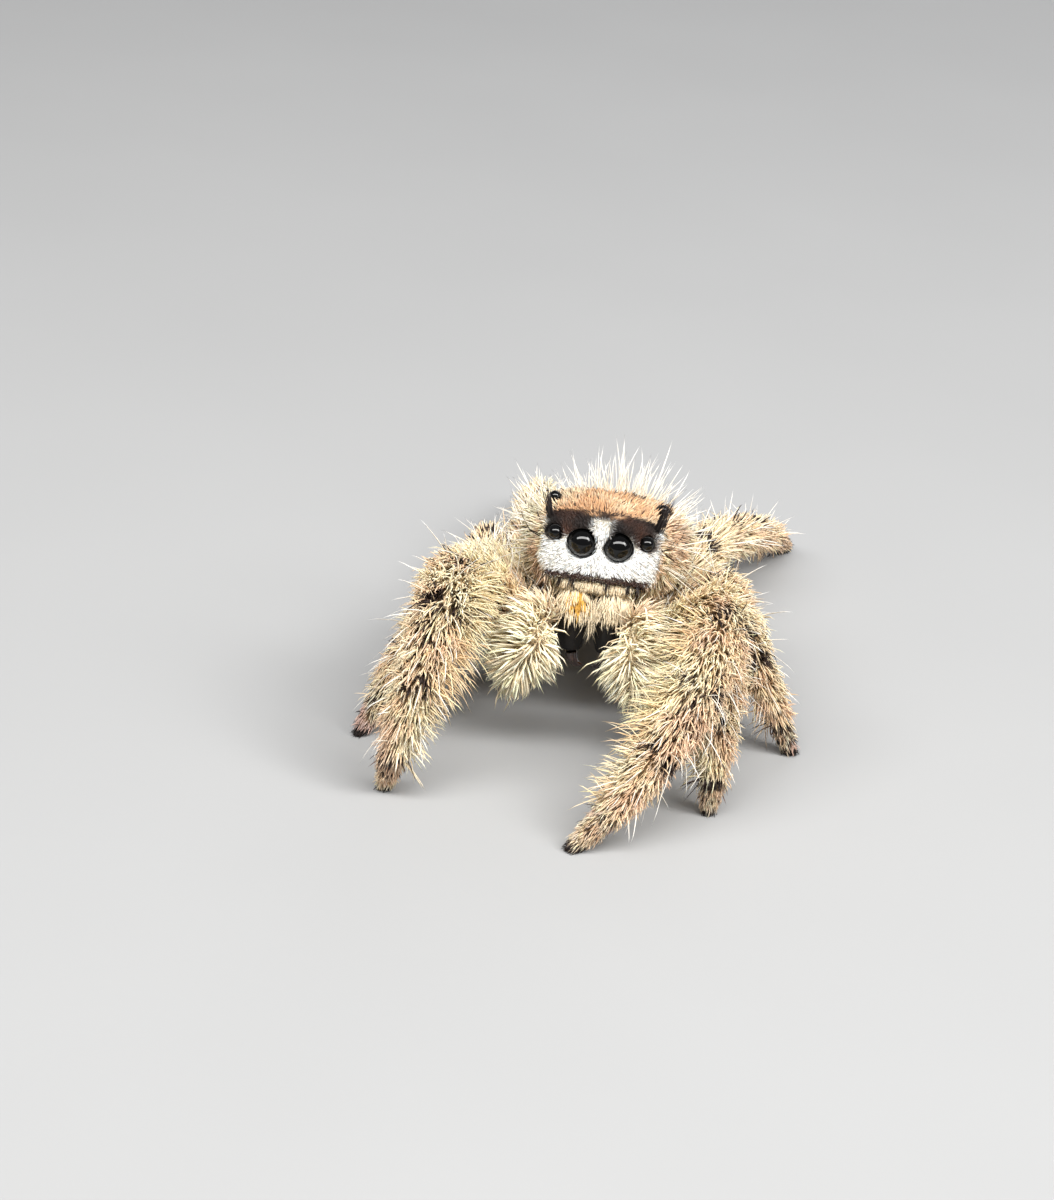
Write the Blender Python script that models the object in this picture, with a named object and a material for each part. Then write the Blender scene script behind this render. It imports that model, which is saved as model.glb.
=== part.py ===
"""Jumping spider: an adult female regal jumping spider, life size, standing with its front raised.

Units are metres with +Z up.  The face looks along -Y, so +X is the spider's left side.
The solids give the outline of the animal with its dense coat on.  Every leg is parted by
thin cuts at its joints, and every foot ends on a small flat at Z = 0.
"""
import math

import bmesh
import bpy
from mathutils import Matrix, Vector

MM = 0.001

# Driving dimensions, in millimetres.
THIN_CUT = 0.10            # gap left between two solids that meet
EYE_HEIGHT = 6.4           # centre of the big front eyes above the floor
PROSOMA_PITCH = 12.0       # degrees the head is raised at the front
ABDOMEN_PITCH = 24.0       # degrees the abdomen falls towards the spinnerets
ABDOMEN_CENTRE = (0.0, 9.40, 2.10)
ABDOMEN_LENGTH = 6.6
ABDOMEN_HALF_WIDTH = 2.1
ABDOMEN_HALF_HEIGHT = 1.64
ABDOMEN_BLUNTNESS = 0.16   # how much fuller the abdomen is in front than behind
TARSUS_SINK = 0.17         # how far a tarsus tip reaches below the floor before it is cut flat
LIMB_SIDES = 10
BODY_SIDES = 24

# Carapace sections in the prosoma frame, millimetres from the big eyes' centre line:
# (distance back, half width, top, bottom, squareness).
CARAPACE_SECTIONS = (
    (-0.08, 1.30, 0.42, -1.12, 3.4),
    (0.06, 1.74, 0.60, -1.26, 4.0),
    (0.28, 2.02, 0.78, -1.32, 4.0),
    (0.70, 2.14, 0.89, -1.35, 3.6),
    (1.25, 2.26, 0.97, -1.40, 3.0),
    (1.62, 2.38, 1.05, -2.28, 2.7),
    (2.60, 2.70, 1.15, -2.44, 2.7),
    (3.80, 2.90, 0.92, -2.46, 2.7),
    (4.90, 2.70, 0.12, -2.44, 2.6),
    (5.80, 2.10, -0.98, -2.38, 2.5),
    (6.40, 1.20, -1.62, -2.26, 2.3),
)
CARAPACE_RINGS_PER_SECTION = 2
CARAPACE_REAR = (0.0, 6.62, -1.95)
REAR_RING_SHARE = 0.35     # size of the last ring against the one before it

# Sternum sections in the prosoma frame: (distance back, half width, top, bottom).
STERNUM_SECTIONS = (
    (0.98, 0.30, -2.66, -3.10),
    (1.30, 0.50, -2.60, -3.30),
    (1.85, 0.38, -2.58, -3.34),
    (2.60, 0.44, -2.56, -3.40),
    (3.70, 0.45, -2.56, -3.42),
    (4.80, 0.36, -2.56, -3.36),
    (5.50, 0.16, -2.58, -3.10),
)

# The waist runs from the prosoma to a point in the abdomen's own frame.
PEDICEL_START = (0.0, 5.75, -2.02)
PEDICEL_END = (0.0, -0.42 * ABDOMEN_LENGTH, -0.45)
PEDICEL_GIRTH = 0.30
PEDICEL_SOCKET_GIRTH = 0.36

# Spinnerets: (distance behind the abdomen, half width, half height), a little below its axis.
SPINNERET_SECTIONS = ((0.04, 0.40, 0.34), (0.35, 0.36, 0.30), (0.70, 0.22, 0.20))
SPINNERET_DROP = 0.10

# Eyes in the prosoma frame: name -> (side offset, distance back, height, radius, facets round).
EYES = {
    "eye_front_middle": (0.59, 0.20, 0.00, 0.475, 14),
    "eye_front_side": (1.49, 0.14, 0.23, 0.250, 10),
    "eye_rear_middle": (1.88, 1.25, 0.68, 0.110, 8),
    "eye_rear_side": (1.80, 2.45, 0.83, 0.200, 10),
}

# Legs.  Coxa roots lie along the sternum: leg number -> distance back in the prosoma frame.
COXA_BACK = {1: 1.75, 2: 2.85, 3: 3.95, 4: 5.00}
COXA_ROOT_OUT = 0.98
COXA_END_OUT = 2.25
COXA_DROP = -3.06
COXA_END_DROP = 0.12
COXA_FAN = {1: -0.55, 2: -0.18, 3: 0.15, 4: 0.70}      # forward or back swing of the coxa's end
# Patella, tibia, metatarsus and tarsus lengths.
SEGMENTS = {
    1: (2.35, 2.65, 2.35, 1.5),
    2: (1.95, 2.15, 1.85, 1.2),
    3: (1.9, 2.2, 2.2, 1.2),
    4: (2.1, 2.7, 2.7, 1.3),
}
KNEE_BEND_SHARE = 0.30     # share of the femur that turns towards the patella before the knee
# Radii at coxa root, coxa end, femur bend, knee, patella end, tibia end, metatarsus end and foot.
GIRTHS = {
    1: (0.46, 0.56, 0.88, 0.84, 0.86, 0.66, 0.44, 0.30),
    2: (0.46, 0.54, 0.72, 0.70, 0.70, 0.56, 0.38, 0.27),
    3: (0.45, 0.52, 0.64, 0.62, 0.60, 0.47, 0.34, 0.26),
    4: (0.46, 0.54, 0.74, 0.70, 0.66, 0.54, 0.38, 0.27),
}
# How much each stretch swells between its joints: coxa, femur, femur bend, patella, tibia,
# metatarsus and tarsus.
SWELL = (0.00, 0.08, 0.03, 0.12, 0.12, 0.08, 0.04)
# The pose: knee (x, y, z), foot (x, y) and how far the lower leg's arch leans outward, in degrees,
# measured from the floor point below the big eyes.
POSE = {
    ("R", 1): ((-4.38, -1.25, 5.28), (-5.55, -6.05), -16.0),
    ("R", 2): ((-4.30, 2.40, 3.75), (-6.88, -3.00), -20.0),
    ("R", 3): ((-4.10, 4.70, 2.25), (-4.80, 11.75), 0.0),
    ("R", 4): ((-2.85, 7.40, 2.45), (-3.30, 15.72), 0.0),
    ("L", 1): ((4.18, -2.20, 5.20), (0.65, -8.00), 61.0),
    ("L", 2): ((4.22, 0.10, 2.50), (4.58, -4.80), 0.0),
    ("L", 3): ((3.92, 4.05, 3.38), (6.95, -0.45), -26.0),
    ("L", 4): ((2.90, 7.00, 3.00), (6.10, 14.50), 0.0),
}
# Leg pieces: name -> (first and last point of the leg's path, rings on each stretch between them).
LEG_PIECES = {
    "femur": (0, 3, (2, 4, 2)),
    "patella": (3, 4, (4,)),
    "tibia": (4, 5, (4,)),
    "metatarsus": (5, 6, (3,)),
    "tarsus": (6, 7, (4,)),
}

TIP_RINGS = ((0.22, 0.45), (0.62, 0.80))    # blunt limb ends: (drawn in, moved on), in radii

# Palps hang in front of the mouth: side -> (knee, tip).
PALP_POSE = {
    "R": ((-1.80, -1.32, 4.30), (-2.15, -2.62, 2.85)),
    "L": ((1.66, -1.35, 4.36), (1.90, -2.60, 2.80)),
}
PALP_ROOT = (1.62, 0.60, -2.75)
PALP_BRUSH_SHARE = 0.52    # place of the brush's middle between knee and tip
PALP_BRUSH_FORWARD = 0.22
PALP_GIRTHS = (0.30, 0.50, 1.18, 0.74)      # at root, knee, brush and tip
PALP_SWELL = (0.02, 0.06, 0.14)

# Jaws in the prosoma frame: points down each chelicera, and down the fang folded in below it.
JAW_PATH = ((0.60, 0.50, -1.54), (0.62, 0.36, -2.55), (0.58, 0.50, -3.62))
JAW_GIRTHS = (0.50, 0.56, 0.36)
JAW_SWELL = (0.04, 0.06)
FANG_PATH = ((0.56, 0.52, -3.74), (0.50, 0.56, -4.00), (0.36, 0.64, -4.20), (0.14, 0.76, -4.28))
FANG_GIRTHS = (0.22, 0.19, 0.13, 0.04)

SKIN_COLOURS = {
    "cream": ((0.72, 0.62, 0.46, 1.0), 0.85),
    "orange": ((0.66, 0.40, 0.22, 1.0), 0.85),
    "jaw": ((0.03, 0.02, 0.015, 1.0), 0.35),
    "eye": ((0.004, 0.004, 0.005, 1.0), 0.08),
    "pink": ((0.60, 0.42, 0.34, 1.0), 0.80),
}


def clear_scene():
    for item in list(bpy.data.objects):
        bpy.data.objects.remove(item, do_unlink=True)


def make_collection(name):
    collection = bpy.data.collections.new(name)
    bpy.context.scene.collection.children.link(collection)
    return collection


def make_material(name, colour, roughness):
    material = bpy.data.materials.new(name)
    material.use_nodes = True
    shader = material.node_tree.nodes["Principled BSDF"]
    shader.inputs["Base Color"].default_value = colour
    shader.inputs["Roughness"].default_value = roughness
    shader.inputs["Metallic"].default_value = 0.0
    return material


def finish_object(name, bm, finish, collection):
    """Turn a bmesh in metres into a named, smooth-shaded object with a material of its own."""
    bmesh.ops.recalc_face_normals(bm, faces=bm.faces)
    mesh = bpy.data.meshes.new(name)
    bm.to_mesh(mesh)
    bm.free()
    mesh.shade_smooth()
    mesh.set_sharp_from_angle(angle=math.radians(50))
    item = bpy.data.objects.new(name, mesh)
    colour, roughness = SKIN_COLOURS[finish]
    mesh.materials.append(make_material(name + "_finish", colour, roughness))
    collection.objects.link(item)
    return item


def prosoma_frame():
    """Place of the prosoma: origin midway between the big eyes, tilted up at the front."""
    lift = Matrix.Translation(Vector((0.0, 0.0, EYE_HEIGHT)) * MM)
    tilt = Matrix.Rotation(math.radians(-PROSOMA_PITCH), 4, "X")
    return lift @ tilt


def in_prosoma(x, back, up):
    return prosoma_frame() @ (Vector((x, back, up)) * MM)


def in_millimetres(point):
    return Vector(point) * MM


def catmull_rom(table, position):
    """Smooth row of the table at a fractional row number."""
    last = len(table) - 1
    first = min(int(position), last - 1)
    t = position - first
    rows = [table[max(0, min(last, first + shift))] for shift in (-1, 0, 1, 2)]
    values = []
    for a, b, c, d in zip(*rows):
        bend = (2 * a - 5 * b + 4 * c - d) * t * t + (3 * b - a - 3 * c + d) * t ** 3
        values.append(0.5 * (2 * b + (c - a) * t + bend))
    return values


def loft(rings):
    """Closed bmesh through rings of equal size, with flat ends."""
    bm = bmesh.new()
    rows = [[bm.verts.new(point) for point in ring] for ring in rings]
    count = len(rows[0])
    for row, following in zip(rows, rows[1:]):
        for k in range(count):
            nearby = (k + 1) % count
            bm.faces.new((row[k], row[nearby], following[nearby], following[k]))
    bm.faces.new(list(reversed(rows[0])))
    bm.faces.new(rows[-1])
    return bm


def squared_ring(half_width, top, bottom, squareness, sides):
    """Points (x, z) of a squared-off oval."""
    middle = (top + bottom) / 2
    half_height = (top - bottom) / 2
    points = []
    for k in range(sides):
        angle = 2 * math.pi * (k + 0.5) / sides
        c = math.cos(angle)
        s = math.sin(angle)
        x = half_width * math.copysign(abs(c) ** (2 / squareness), c)
        z = middle + half_height * math.copysign(abs(s) ** (2 / squareness), s)
        points.append((x, z))
    return points


def sphere_mesh(centre, radius, facets):
    bm = bmesh.new()
    facing = Matrix.Rotation(math.pi / 2, 4, "X")
    matrix = Matrix.Translation(centre) @ facing
    bmesh.ops.create_uvsphere(bm, u_segments=facets, v_segments=facets // 2 + 1, radius=radius, matrix=matrix)
    return bm


def make_cutter(name, bm, cutters):
    cutter = finish_object(name, bm, "jaw", cutters)
    cutter.hide_render = True
    cutter.display_type = "WIRE"
    return cutter


def cut_with(item, cutter):
    modifier = item.modifiers.new("cut_" + cutter.name, "BOOLEAN")
    modifier.operation = "DIFFERENCE"
    modifier.solver = "EXACT"
    modifier.object = cutter


# ---------------------------------------------------------------- body


def build_carapace(model, cutters):
    rings = []
    steps = (len(CARAPACE_SECTIONS) - 1) * CARAPACE_RINGS_PER_SECTION
    for k in range(steps + 1):
        section = catmull_rom(CARAPACE_SECTIONS, k / CARAPACE_RINGS_PER_SECTION)
        back, half_width, top, bottom, squareness = section
        outline = squared_ring(half_width, top, bottom, squareness, BODY_SIDES)
        rings.append([in_prosoma(x, back, z) for x, z in outline])
    rear = in_prosoma(*CARAPACE_REAR)
    rings.append([rear.lerp(point, REAR_RING_SHARE) for point in rings[-1]])
    carapace = finish_object("carapace", loft(rings), "orange", model)
    for name, (out, back, up, radius, facets) in EYES.items():
        for side, sign in (("R", -1), ("L", 1)):
            centre = in_prosoma(sign * out, back, up)
            socket = sphere_mesh(centre, (radius + THIN_CUT / 2) * MM, facets)
            cut_with(carapace, make_cutter(f"socket_{name}_{side}", socket, cutters))
    return carapace


def build_eyes(model):
    for name, (out, back, up, radius, facets) in EYES.items():
        for side, sign in (("R", -1), ("L", 1)):
            centre = in_prosoma(sign * out, back, up)
            finish_object(f"{name}_{side}", sphere_mesh(centre, radius * MM, facets), "eye", model)


def abdomen_frame():
    tilt = Matrix.Rotation(math.radians(-ABDOMEN_PITCH), 4, "X")
    return Matrix.Translation(in_millimetres(ABDOMEN_CENTRE)) @ tilt


def build_abdomen(model, rings_along=14):
    """Egg shape, blunt in front and drawn out towards the spinnerets."""
    frame = abdomen_frame()
    rings = []
    for k in range(rings_along + 1):
        angle = math.pi * (k + 0.35) / (rings_along + 0.7)
        along = -math.cos(angle)
        reach = math.sin(angle) ** 0.88
        blunt = 1.0 - ABDOMEN_BLUNTNESS * along
        width = ABDOMEN_HALF_WIDTH * reach * blunt
        top = ABDOMEN_HALF_HEIGHT * reach * blunt
        bottom = -0.92 * ABDOMEN_HALF_HEIGHT * reach * blunt
        centre_y = along * ABDOMEN_LENGTH / 2
        outline = squared_ring(width, top, bottom, 2.15, BODY_SIDES - 4)
        rings.append([frame @ in_millimetres((x, centre_y, z)) for x, z in outline])
    return finish_object("abdomen", loft(rings), "cream", model)


def build_sternum(model):
    """Breast plate with the lip and the palps' base plates in front of it."""
    rings = []
    for back, half_width, top, bottom in STERNUM_SECTIONS:
        outline = squared_ring(half_width, top, bottom, 2.4, 14)
        rings.append([in_prosoma(x, back, z) for x, z in outline])
    return finish_object("sternum", loft(rings), "cream", model)


def build_pedicel(carapace, abdomen, model, cutters):
    """Short waist, let into a socket in the carapace and in the abdomen."""
    start = in_prosoma(*PEDICEL_START)
    end = abdomen_frame() @ in_millimetres(PEDICEL_END)
    waist = limb_mesh([start, end], [PEDICEL_GIRTH] * 2, [0.0], [3], LIMB_SIDES, THIN_CUT / 2)
    finish_object("pedicel", waist, "cream", model)
    socket = limb_mesh([start, end], [PEDICEL_SOCKET_GIRTH] * 2, [0.0], [3], LIMB_SIDES, 0.0)
    cutter = make_cutter("socket_pedicel", socket, cutters)
    cut_with(carapace, cutter)
    cut_with(abdomen, cutter)


def build_spinnerets(model):
    """Cluster of spinnerets, drawn as one blunt two-lobed cone behind the abdomen."""
    frame = abdomen_frame()
    rings = []
    start = ABDOMEN_LENGTH / 2 - 0.02
    for back, half_width, half_height in SPINNERET_SECTIONS:
        top, bottom = half_height - SPINNERET_DROP, -half_height - SPINNERET_DROP
        outline = squared_ring(half_width, top, bottom, 2.0, 12)
        rings.append([frame @ in_millimetres((x, start + back, z)) for x, z in outline])
    return finish_object("spinnerets", loft(rings), "pink", model)


# ---------------------------------------------------------------- limbs


def plane_shift(point, axis, normal):
    """Slide of a ring point along the stretch's axis that puts it in the joint's plane."""
    return -point.dot(normal) / axis.dot(normal)


def joint_normals(path):
    """Unit normals of the joint planes: square at the ends, halving the bend between stretches."""
    axes = [(b - a).normalized() for a, b in zip(path, path[1:])]
    normals = [axes[0]]
    for before, after in zip(axes, axes[1:]):
        normals.append((before + after).normalized())
    normals.append(axes[-1])
    return axes, normals


def limb_rings(path, girths, swells, counts, sides, normals=None):
    """Rings along a bent limb.  Each stretch swells between its joints, and its rings turn from
    the plane of one joint to that of the next, so the limb never folds on the inside of a bend."""
    axes, own_normals = joint_normals(path)
    normals = normals or own_normals
    rings = []
    reference = Vector((0.31, 0.17, 0.93))
    for k, axis in enumerate(axes):
        side = axis.cross(reference).normalized()
        upward = side.cross(axis)
        steps = counts[k]
        for step in range(0 if k == 0 else 1, steps + 1):
            t = step / steps
            radius = girths[k] + (girths[k + 1] - girths[k]) * t + swells[k] * math.sin(math.pi * t)
            centre = path[k].lerp(path[k + 1], t)
            ring = []
            for n in range(sides):
                angle = 2 * math.pi * n / sides
                spoke = (side * math.cos(angle) + upward * math.sin(angle)) * radius * MM
                start_shift = plane_shift(spoke, axis, normals[k])
                end_shift = plane_shift(spoke, axis, normals[k + 1])
                ring.append(centre + spoke + axis * (start_shift * (1 - t) + end_shift * t))
            rings.append(ring)
    return rings


def limb_mesh(path, girths, swells, counts, sides, trim):
    """Closed limb, shortened by the trim at both ends."""
    axes, _ = joint_normals(path)
    path = list(path)
    path[0] = path[0] + axes[0] * trim * MM
    path[-1] = path[-1] - axes[-1] * trim * MM
    return loft(limb_rings(path, girths, swells, counts, sides))


def arched_chain(knee, foot, lengths, lean, sign):
    """Joints from the knee to the foot.  Every joint bends alike, and the arch rises in a plane
    that leans outward by the given angle."""
    reach = foot - knee
    along = reach.normalized()
    upward = Vector((0.0, 0.0, 1.0))
    upward = (upward - along * upward.dot(along)).normalized()
    outward = along.cross(upward)
    if outward.x * sign < 0:
        outward.negate()
    rise = upward * math.cos(math.radians(lean)) + outward * math.sin(math.radians(lean))

    def chain(bend):
        flat = [Vector((0.0, 0.0))]
        for length, turn in zip(lengths, (1.5, 0.5, -0.5, -1.5)):
            step = Vector((math.cos(turn * bend), math.sin(turn * bend)))
            flat.append(flat[-1] + step * length * MM)
        return flat

    low = 0.0
    high = 1.2
    for _ in range(40):
        middle = (low + high) / 2
        if chain(middle)[-1].length > reach.length:
            low = middle
        else:
            high = middle
    flat = chain(low)
    forward = flat[-1].normalized()
    across = Vector((-forward.y, forward.x))
    return [knee + along * point.dot(forward) + rise * point.dot(across) for point in flat]


def leg_path(side, number):
    """Coxa root, coxa end, femur bend, knee, and the joints down to the foot."""
    sign = -1 if side == "R" else 1
    knee, foot, lean = POSE[(side, number)]
    back = COXA_BACK[number]
    root = in_prosoma(sign * COXA_ROOT_OUT, back, COXA_DROP)
    coxa_end = in_prosoma(sign * COXA_END_OUT, back + COXA_FAN[number], COXA_DROP - COXA_END_DROP)
    tip_height = GIRTHS[number][-1] - TARSUS_SINK
    foot_centre = in_millimetres((foot[0], foot[1], tip_height))
    lower = arched_chain(in_millimetres(knee), foot_centre, SEGMENTS[number], lean, sign)
    femur = lower[0] - coxa_end
    patella = lower[1] - lower[0]
    turned = (femur.normalized() + patella.normalized()).normalized()
    femur_bend = lower[0] - turned * femur.length * KNEE_BEND_SHARE
    return [root, coxa_end, femur_bend] + lower


def rounded_tip(rings):
    """Blunt end for a tarsus: two shrinking rings past the last one."""
    centre = sum(rings[-1], Vector()) / len(rings[-1])
    before = sum(rings[-2], Vector()) / len(rings[-2])
    axis = (centre - before).normalized()
    radius = (rings[-1][0] - centre).length
    return rings + [
        [point.lerp(centre, drawn_in) + axis * radius * moved_on for point in rings[-1]]
        for drawn_in, moved_on in TIP_RINGS
    ]


def flatten_foot(bm):
    """Cut the tarsus off at the floor, which leaves the small flat it stands on."""
    everything = list(bm.verts) + list(bm.edges) + list(bm.faces)
    bmesh.ops.bisect_plane(bm, geom=everything, dist=1e-9, plane_co=(0, 0, 0), plane_no=(0, 0, 1),
                           clear_inner=True)
    rim = [edge for edge in bm.edges if edge.is_boundary]
    bmesh.ops.holes_fill(bm, edges=rim, sides=0)


def build_leg(side, number, model):
    path = leg_path(side, number)
    _, normals = joint_normals(path)
    half_cut = THIN_CUT / 2 * MM
    for name, (start, end, counts) in LEG_PIECES.items():
        points = path[start:end + 1]
        planes = normals[start:end + 1]
        points[0] = points[0] + planes[0] * half_cut
        points[-1] = points[-1] - planes[-1] * half_cut
        girths = GIRTHS[number][start:end + 1]
        rings = limb_rings(points, girths, SWELL[start:end], counts, LIMB_SIDES, planes)
        if name == "tarsus":
            bm = loft(rounded_tip(rings))
            flatten_foot(bm)
        else:
            bm = loft(rings)
        finish = "pink" if name == "tarsus" else "cream"
        finish_object(f"leg_{side}{number}_{name}", bm, finish, model)


def build_palp(side, model):
    """Palp: a short arm forward to its knee, then the hanging brush."""
    sign = -1 if side == "R" else 1
    root = in_prosoma(sign * PALP_ROOT[0], PALP_ROOT[1], PALP_ROOT[2])
    knee, tip = (in_millimetres(point) for point in PALP_POSE[side])
    middle = knee.lerp(tip, PALP_BRUSH_SHARE) + Vector((0.0, -PALP_BRUSH_FORWARD, 0.0)) * MM
    rings = limb_rings([root, knee, middle, tip], PALP_GIRTHS, PALP_SWELL, [4, 3, 3], LIMB_SIDES + 2)
    finish_object(f"palp_{side}", loft(rounded_tip(rings)), "cream", model)


def build_jaw(side, model):
    """One chelicera, and its fang folded across below it."""
    sign = -1 if side == "R" else 1
    path = [in_prosoma(sign * x, back, up) for x, back, up in JAW_PATH]
    rings = limb_rings(path, JAW_GIRTHS, JAW_SWELL, [3, 4], LIMB_SIDES)
    finish_object(f"chelicera_{side}", loft(rings), "jaw", model)
    fang_path = [in_prosoma(sign * x, back, up) for x, back, up in FANG_PATH]
    fang = limb_rings(fang_path, FANG_GIRTHS, [0.0] * 3, [1, 1, 1], LIMB_SIDES)
    finish_object(f"fang_{side}", loft(fang), "jaw", model)


def shift_to_origin(model):
    """Shift that puts the origin on the floor under the middle of the whole animal's box."""
    bpy.context.view_layer.update()
    corners = [item.matrix_world @ Vector(corner) for item in model.objects for corner in item.bound_box]
    middle_x = (min(c.x for c in corners) + max(c.x for c in corners)) / 2
    middle_y = (min(c.y for c in corners) + max(c.y for c in corners)) / 2
    return Vector((-middle_x, -middle_y, 0.0))


def main():
    clear_scene()
    model = make_collection("jumping_spider")
    cutters = make_collection("cutters")
    carapace = build_carapace(model, cutters)
    abdomen = build_abdomen(model)
    build_sternum(model)
    build_pedicel(carapace, abdomen, model, cutters)
    build_spinnerets(model)
    build_eyes(model)
    for side in ("R", "L"):
        build_jaw(side, model)
        build_palp(side, model)
        for number in (1, 2, 3, 4):
            build_leg(side, number, model)
    shift = shift_to_origin(model)
    for item in list(model.objects) + list(cutters.objects):
        item.location = item.location + shift


main()
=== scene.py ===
"""Jumping spider: skin, coat, eyes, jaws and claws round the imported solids, on a pale studio floor.

Shapes are worked out in millimetres and turned into metres when a mesh is made.
"""

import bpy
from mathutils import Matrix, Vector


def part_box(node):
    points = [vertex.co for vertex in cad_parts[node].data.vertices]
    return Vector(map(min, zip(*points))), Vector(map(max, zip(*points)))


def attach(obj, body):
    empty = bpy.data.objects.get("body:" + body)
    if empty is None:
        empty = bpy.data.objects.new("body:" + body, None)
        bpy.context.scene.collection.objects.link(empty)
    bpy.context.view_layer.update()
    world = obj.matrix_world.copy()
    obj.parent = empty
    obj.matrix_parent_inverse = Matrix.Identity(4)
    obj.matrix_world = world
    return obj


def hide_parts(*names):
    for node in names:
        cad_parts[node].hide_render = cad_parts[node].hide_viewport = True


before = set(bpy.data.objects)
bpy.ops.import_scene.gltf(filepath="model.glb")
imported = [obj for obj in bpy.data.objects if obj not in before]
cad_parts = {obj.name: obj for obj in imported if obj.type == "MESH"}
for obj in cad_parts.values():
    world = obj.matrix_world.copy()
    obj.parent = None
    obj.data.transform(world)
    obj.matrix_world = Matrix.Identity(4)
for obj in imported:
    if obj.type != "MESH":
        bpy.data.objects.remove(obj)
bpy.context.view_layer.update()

import math
from collections import namedtuple

import bpy
import numpy as np
from mathutils import Matrix, Vector
from mathutils.bvhtree import BVHTree

MM = 0.001
SIDES = {"R": -1.0, "L": 1.0}
LEG_NUMBERS = (1, 2, 3, 4)
LEG_PIECES = ("femur", "patella", "tibia", "metatarsus", "tarsus")
TRUNK = ("carapace", "sternum", "abdomen", "pedicel", "spinnerets")
EYE_PAIRS = ("front_middle", "front_side", "rear_middle", "rear_side")

# The camera looks at a point placed from the midpoint between the two big eyes, in millimetres.
CAMERA_AIM = np.array((-2.35, 1.86, -3.36))
CAMERA_AZIMUTH = math.radians(5.0)
CAMERA_ELEVATION = math.radians(28.0)
CAMERA_ROLL = math.radians(5.5)
CAMERA_DISTANCE = 90.0
CAMERA_LENS = 92.2
CAMERA_SENSOR = 36.0

# Studio lights aimed a little behind and below the eyes: place, size, power and colour.
LIGHT_AIM = np.array((0.0, 2.0, -2.0))
LIGHTS = {
    "window": ((10, -91, 177), (420, 60), 1.22, (1.0, 0.99, 0.97)),
    "side_window": ((142, -52, 135), (56, 110), 0.17, (1.0, 0.99, 0.97)),
    "back": ((60, 190, 110), (160, 90), 0.07, (0.98, 0.98, 1.0)),
}
SKY_COLOUR = (0.93, 0.95, 1.0, 1.0)
SKY_STRENGTH = 0.22
FLOOR_HALF = 600.0

HEAD_PITCH = math.radians(12.0)    # how far the solids' head is raised at the front
BIG_EYE_BACK = 0.20                # the big eyes' centres lie this far behind the face
VOXEL = 0.100                      # skin remesh size
CUT_FILL = 0.085                   # growth of each solid that closes the thin cuts between them
FILL_REMOVED = 0.6                 # share of that growth that is taken off again

# The face in the head's frame: half widths, and places back from the face and up from the eyes.
FACE_HALF, FACE_BACK, FACE_LOW = 2.02, 0.95, -1.6
BAND_HALF, BAND_BACK = 1.86, 0.88
CROWN_HALF, CROWN_BACK, CROWN_MIDDLE = 1.98, 4.3, 2.4
SOCKET = 0.16                      # white skin round each front eye
STRIPE_HALF, STRIPE_BACK = 0.23, 0.36      # the white stripe between the big eyes
LIP_MIDDLE, LIP_CURVE = -1.07, -0.07       # height of the face's lower edge, and its droop

# Coat by region: how deep the skin lies under the solids, hairs to a square millimetre, their
# length and width, how far they lift from the skin in degrees, how far a lock pulls them
# together, and the share of them that strays.
Coat = namedtuple("Coat", "depth density length width lift clump stray")
LEG_COAT = Coat(0.28, 135, 0.76, 0.070, 54, 0.50, 0.20)
COATS = {
    "face": Coat(0.10, 720, 0.19, 0.042, 7, 0.03, 0.00),
    "band": Coat(0.08, 460, 0.15, 0.036, 26, 0.20, 0.04),
    "dome": Coat(0.15, 300, 0.34, 0.044, 22, 0.35, 0.05),
    "carapace": Coat(0.24, 165, 0.54, 0.056, 34, 0.40, 0.14),
    "sternum": Coat(0.12, 70, 0.45, 0.050, 25, 0.30, 0.05),
    "abdomen": Coat(0.26, 135, 0.62, 0.054, 30, 0.40, 0.12),
    "pedicel": Coat(0.03, 50, 0.30, 0.040, 25, 0.20, 0.00),
    "spinnerets": Coat(0.08, 90, 0.26, 0.036, 30, 0.20, 0.00),
    "palp_shaft": Coat(0.14, 115, 0.92, 0.084, 50, 0.30, 0.12),
    "palp": Coat(0.44, 112, 1.06, 0.092, 56, 0.35, 0.08),
    "femur": Coat(0.24, 130, 0.68, 0.064, 38, 0.45, 0.16),
    "patella": LEG_COAT,
    "tibia": LEG_COAT,
    "metatarsus": Coat(0.18, 160, 0.56, 0.058, 50, 0.45, 0.18),
    "tarsus": Coat(0.10, 220, 0.27, 0.038, 32, 0.25, 0.08),
}
REGIONS = tuple(COATS)
# The two layers, as shares of those values.
TOP_COAT = Coat(0, 1, 1, 1, 1, 1, 1)
UNDERCOAT = Coat(0, 0.9, 0.50, 0.70, 0.55, 0, 0)

# Painted shade under the coat: how dark the skin, the undercoat and the strands' roots are painted for
# the shade between the hairs, as shares of the coat's colour. The tint makes deeper painted shade
# browner.
PAINTED_SHADE_TINT = np.array((1.0, 1.15, 1.5))
SKIN_PAINTED_SHADES = dict.fromkeys(REGIONS, 0.27) | {"face": 0.92, "band": 0.5, "dome": 0.55, "palp": 0.62}
UNDERCOAT_PAINTED_SHADES = dict.fromkeys(REGIONS, 0.50) | {
    "face": 1.0, "dome": 0.85, "band": 1.0, "tarsus": 0.8, "palp": 0.85, "palp_shaft": 0.75,
}
ROOT_PAINTED_SHADES = dict.fromkeys(REGIONS, 0.74) | {
    "carapace": 0.82, "face": 0.95, "dome": 0.75, "palp": 0.95, "palp_shaft": 0.85,
}


def srgb(red, green, blue):
    """Linear colour from 0-255 screen levels."""
    level = np.array((red, green, blue)) / 255.0
    return np.where(level <= 0.04045, level / 12.92, ((level + 0.055) / 1.055) ** 2.4)


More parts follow.
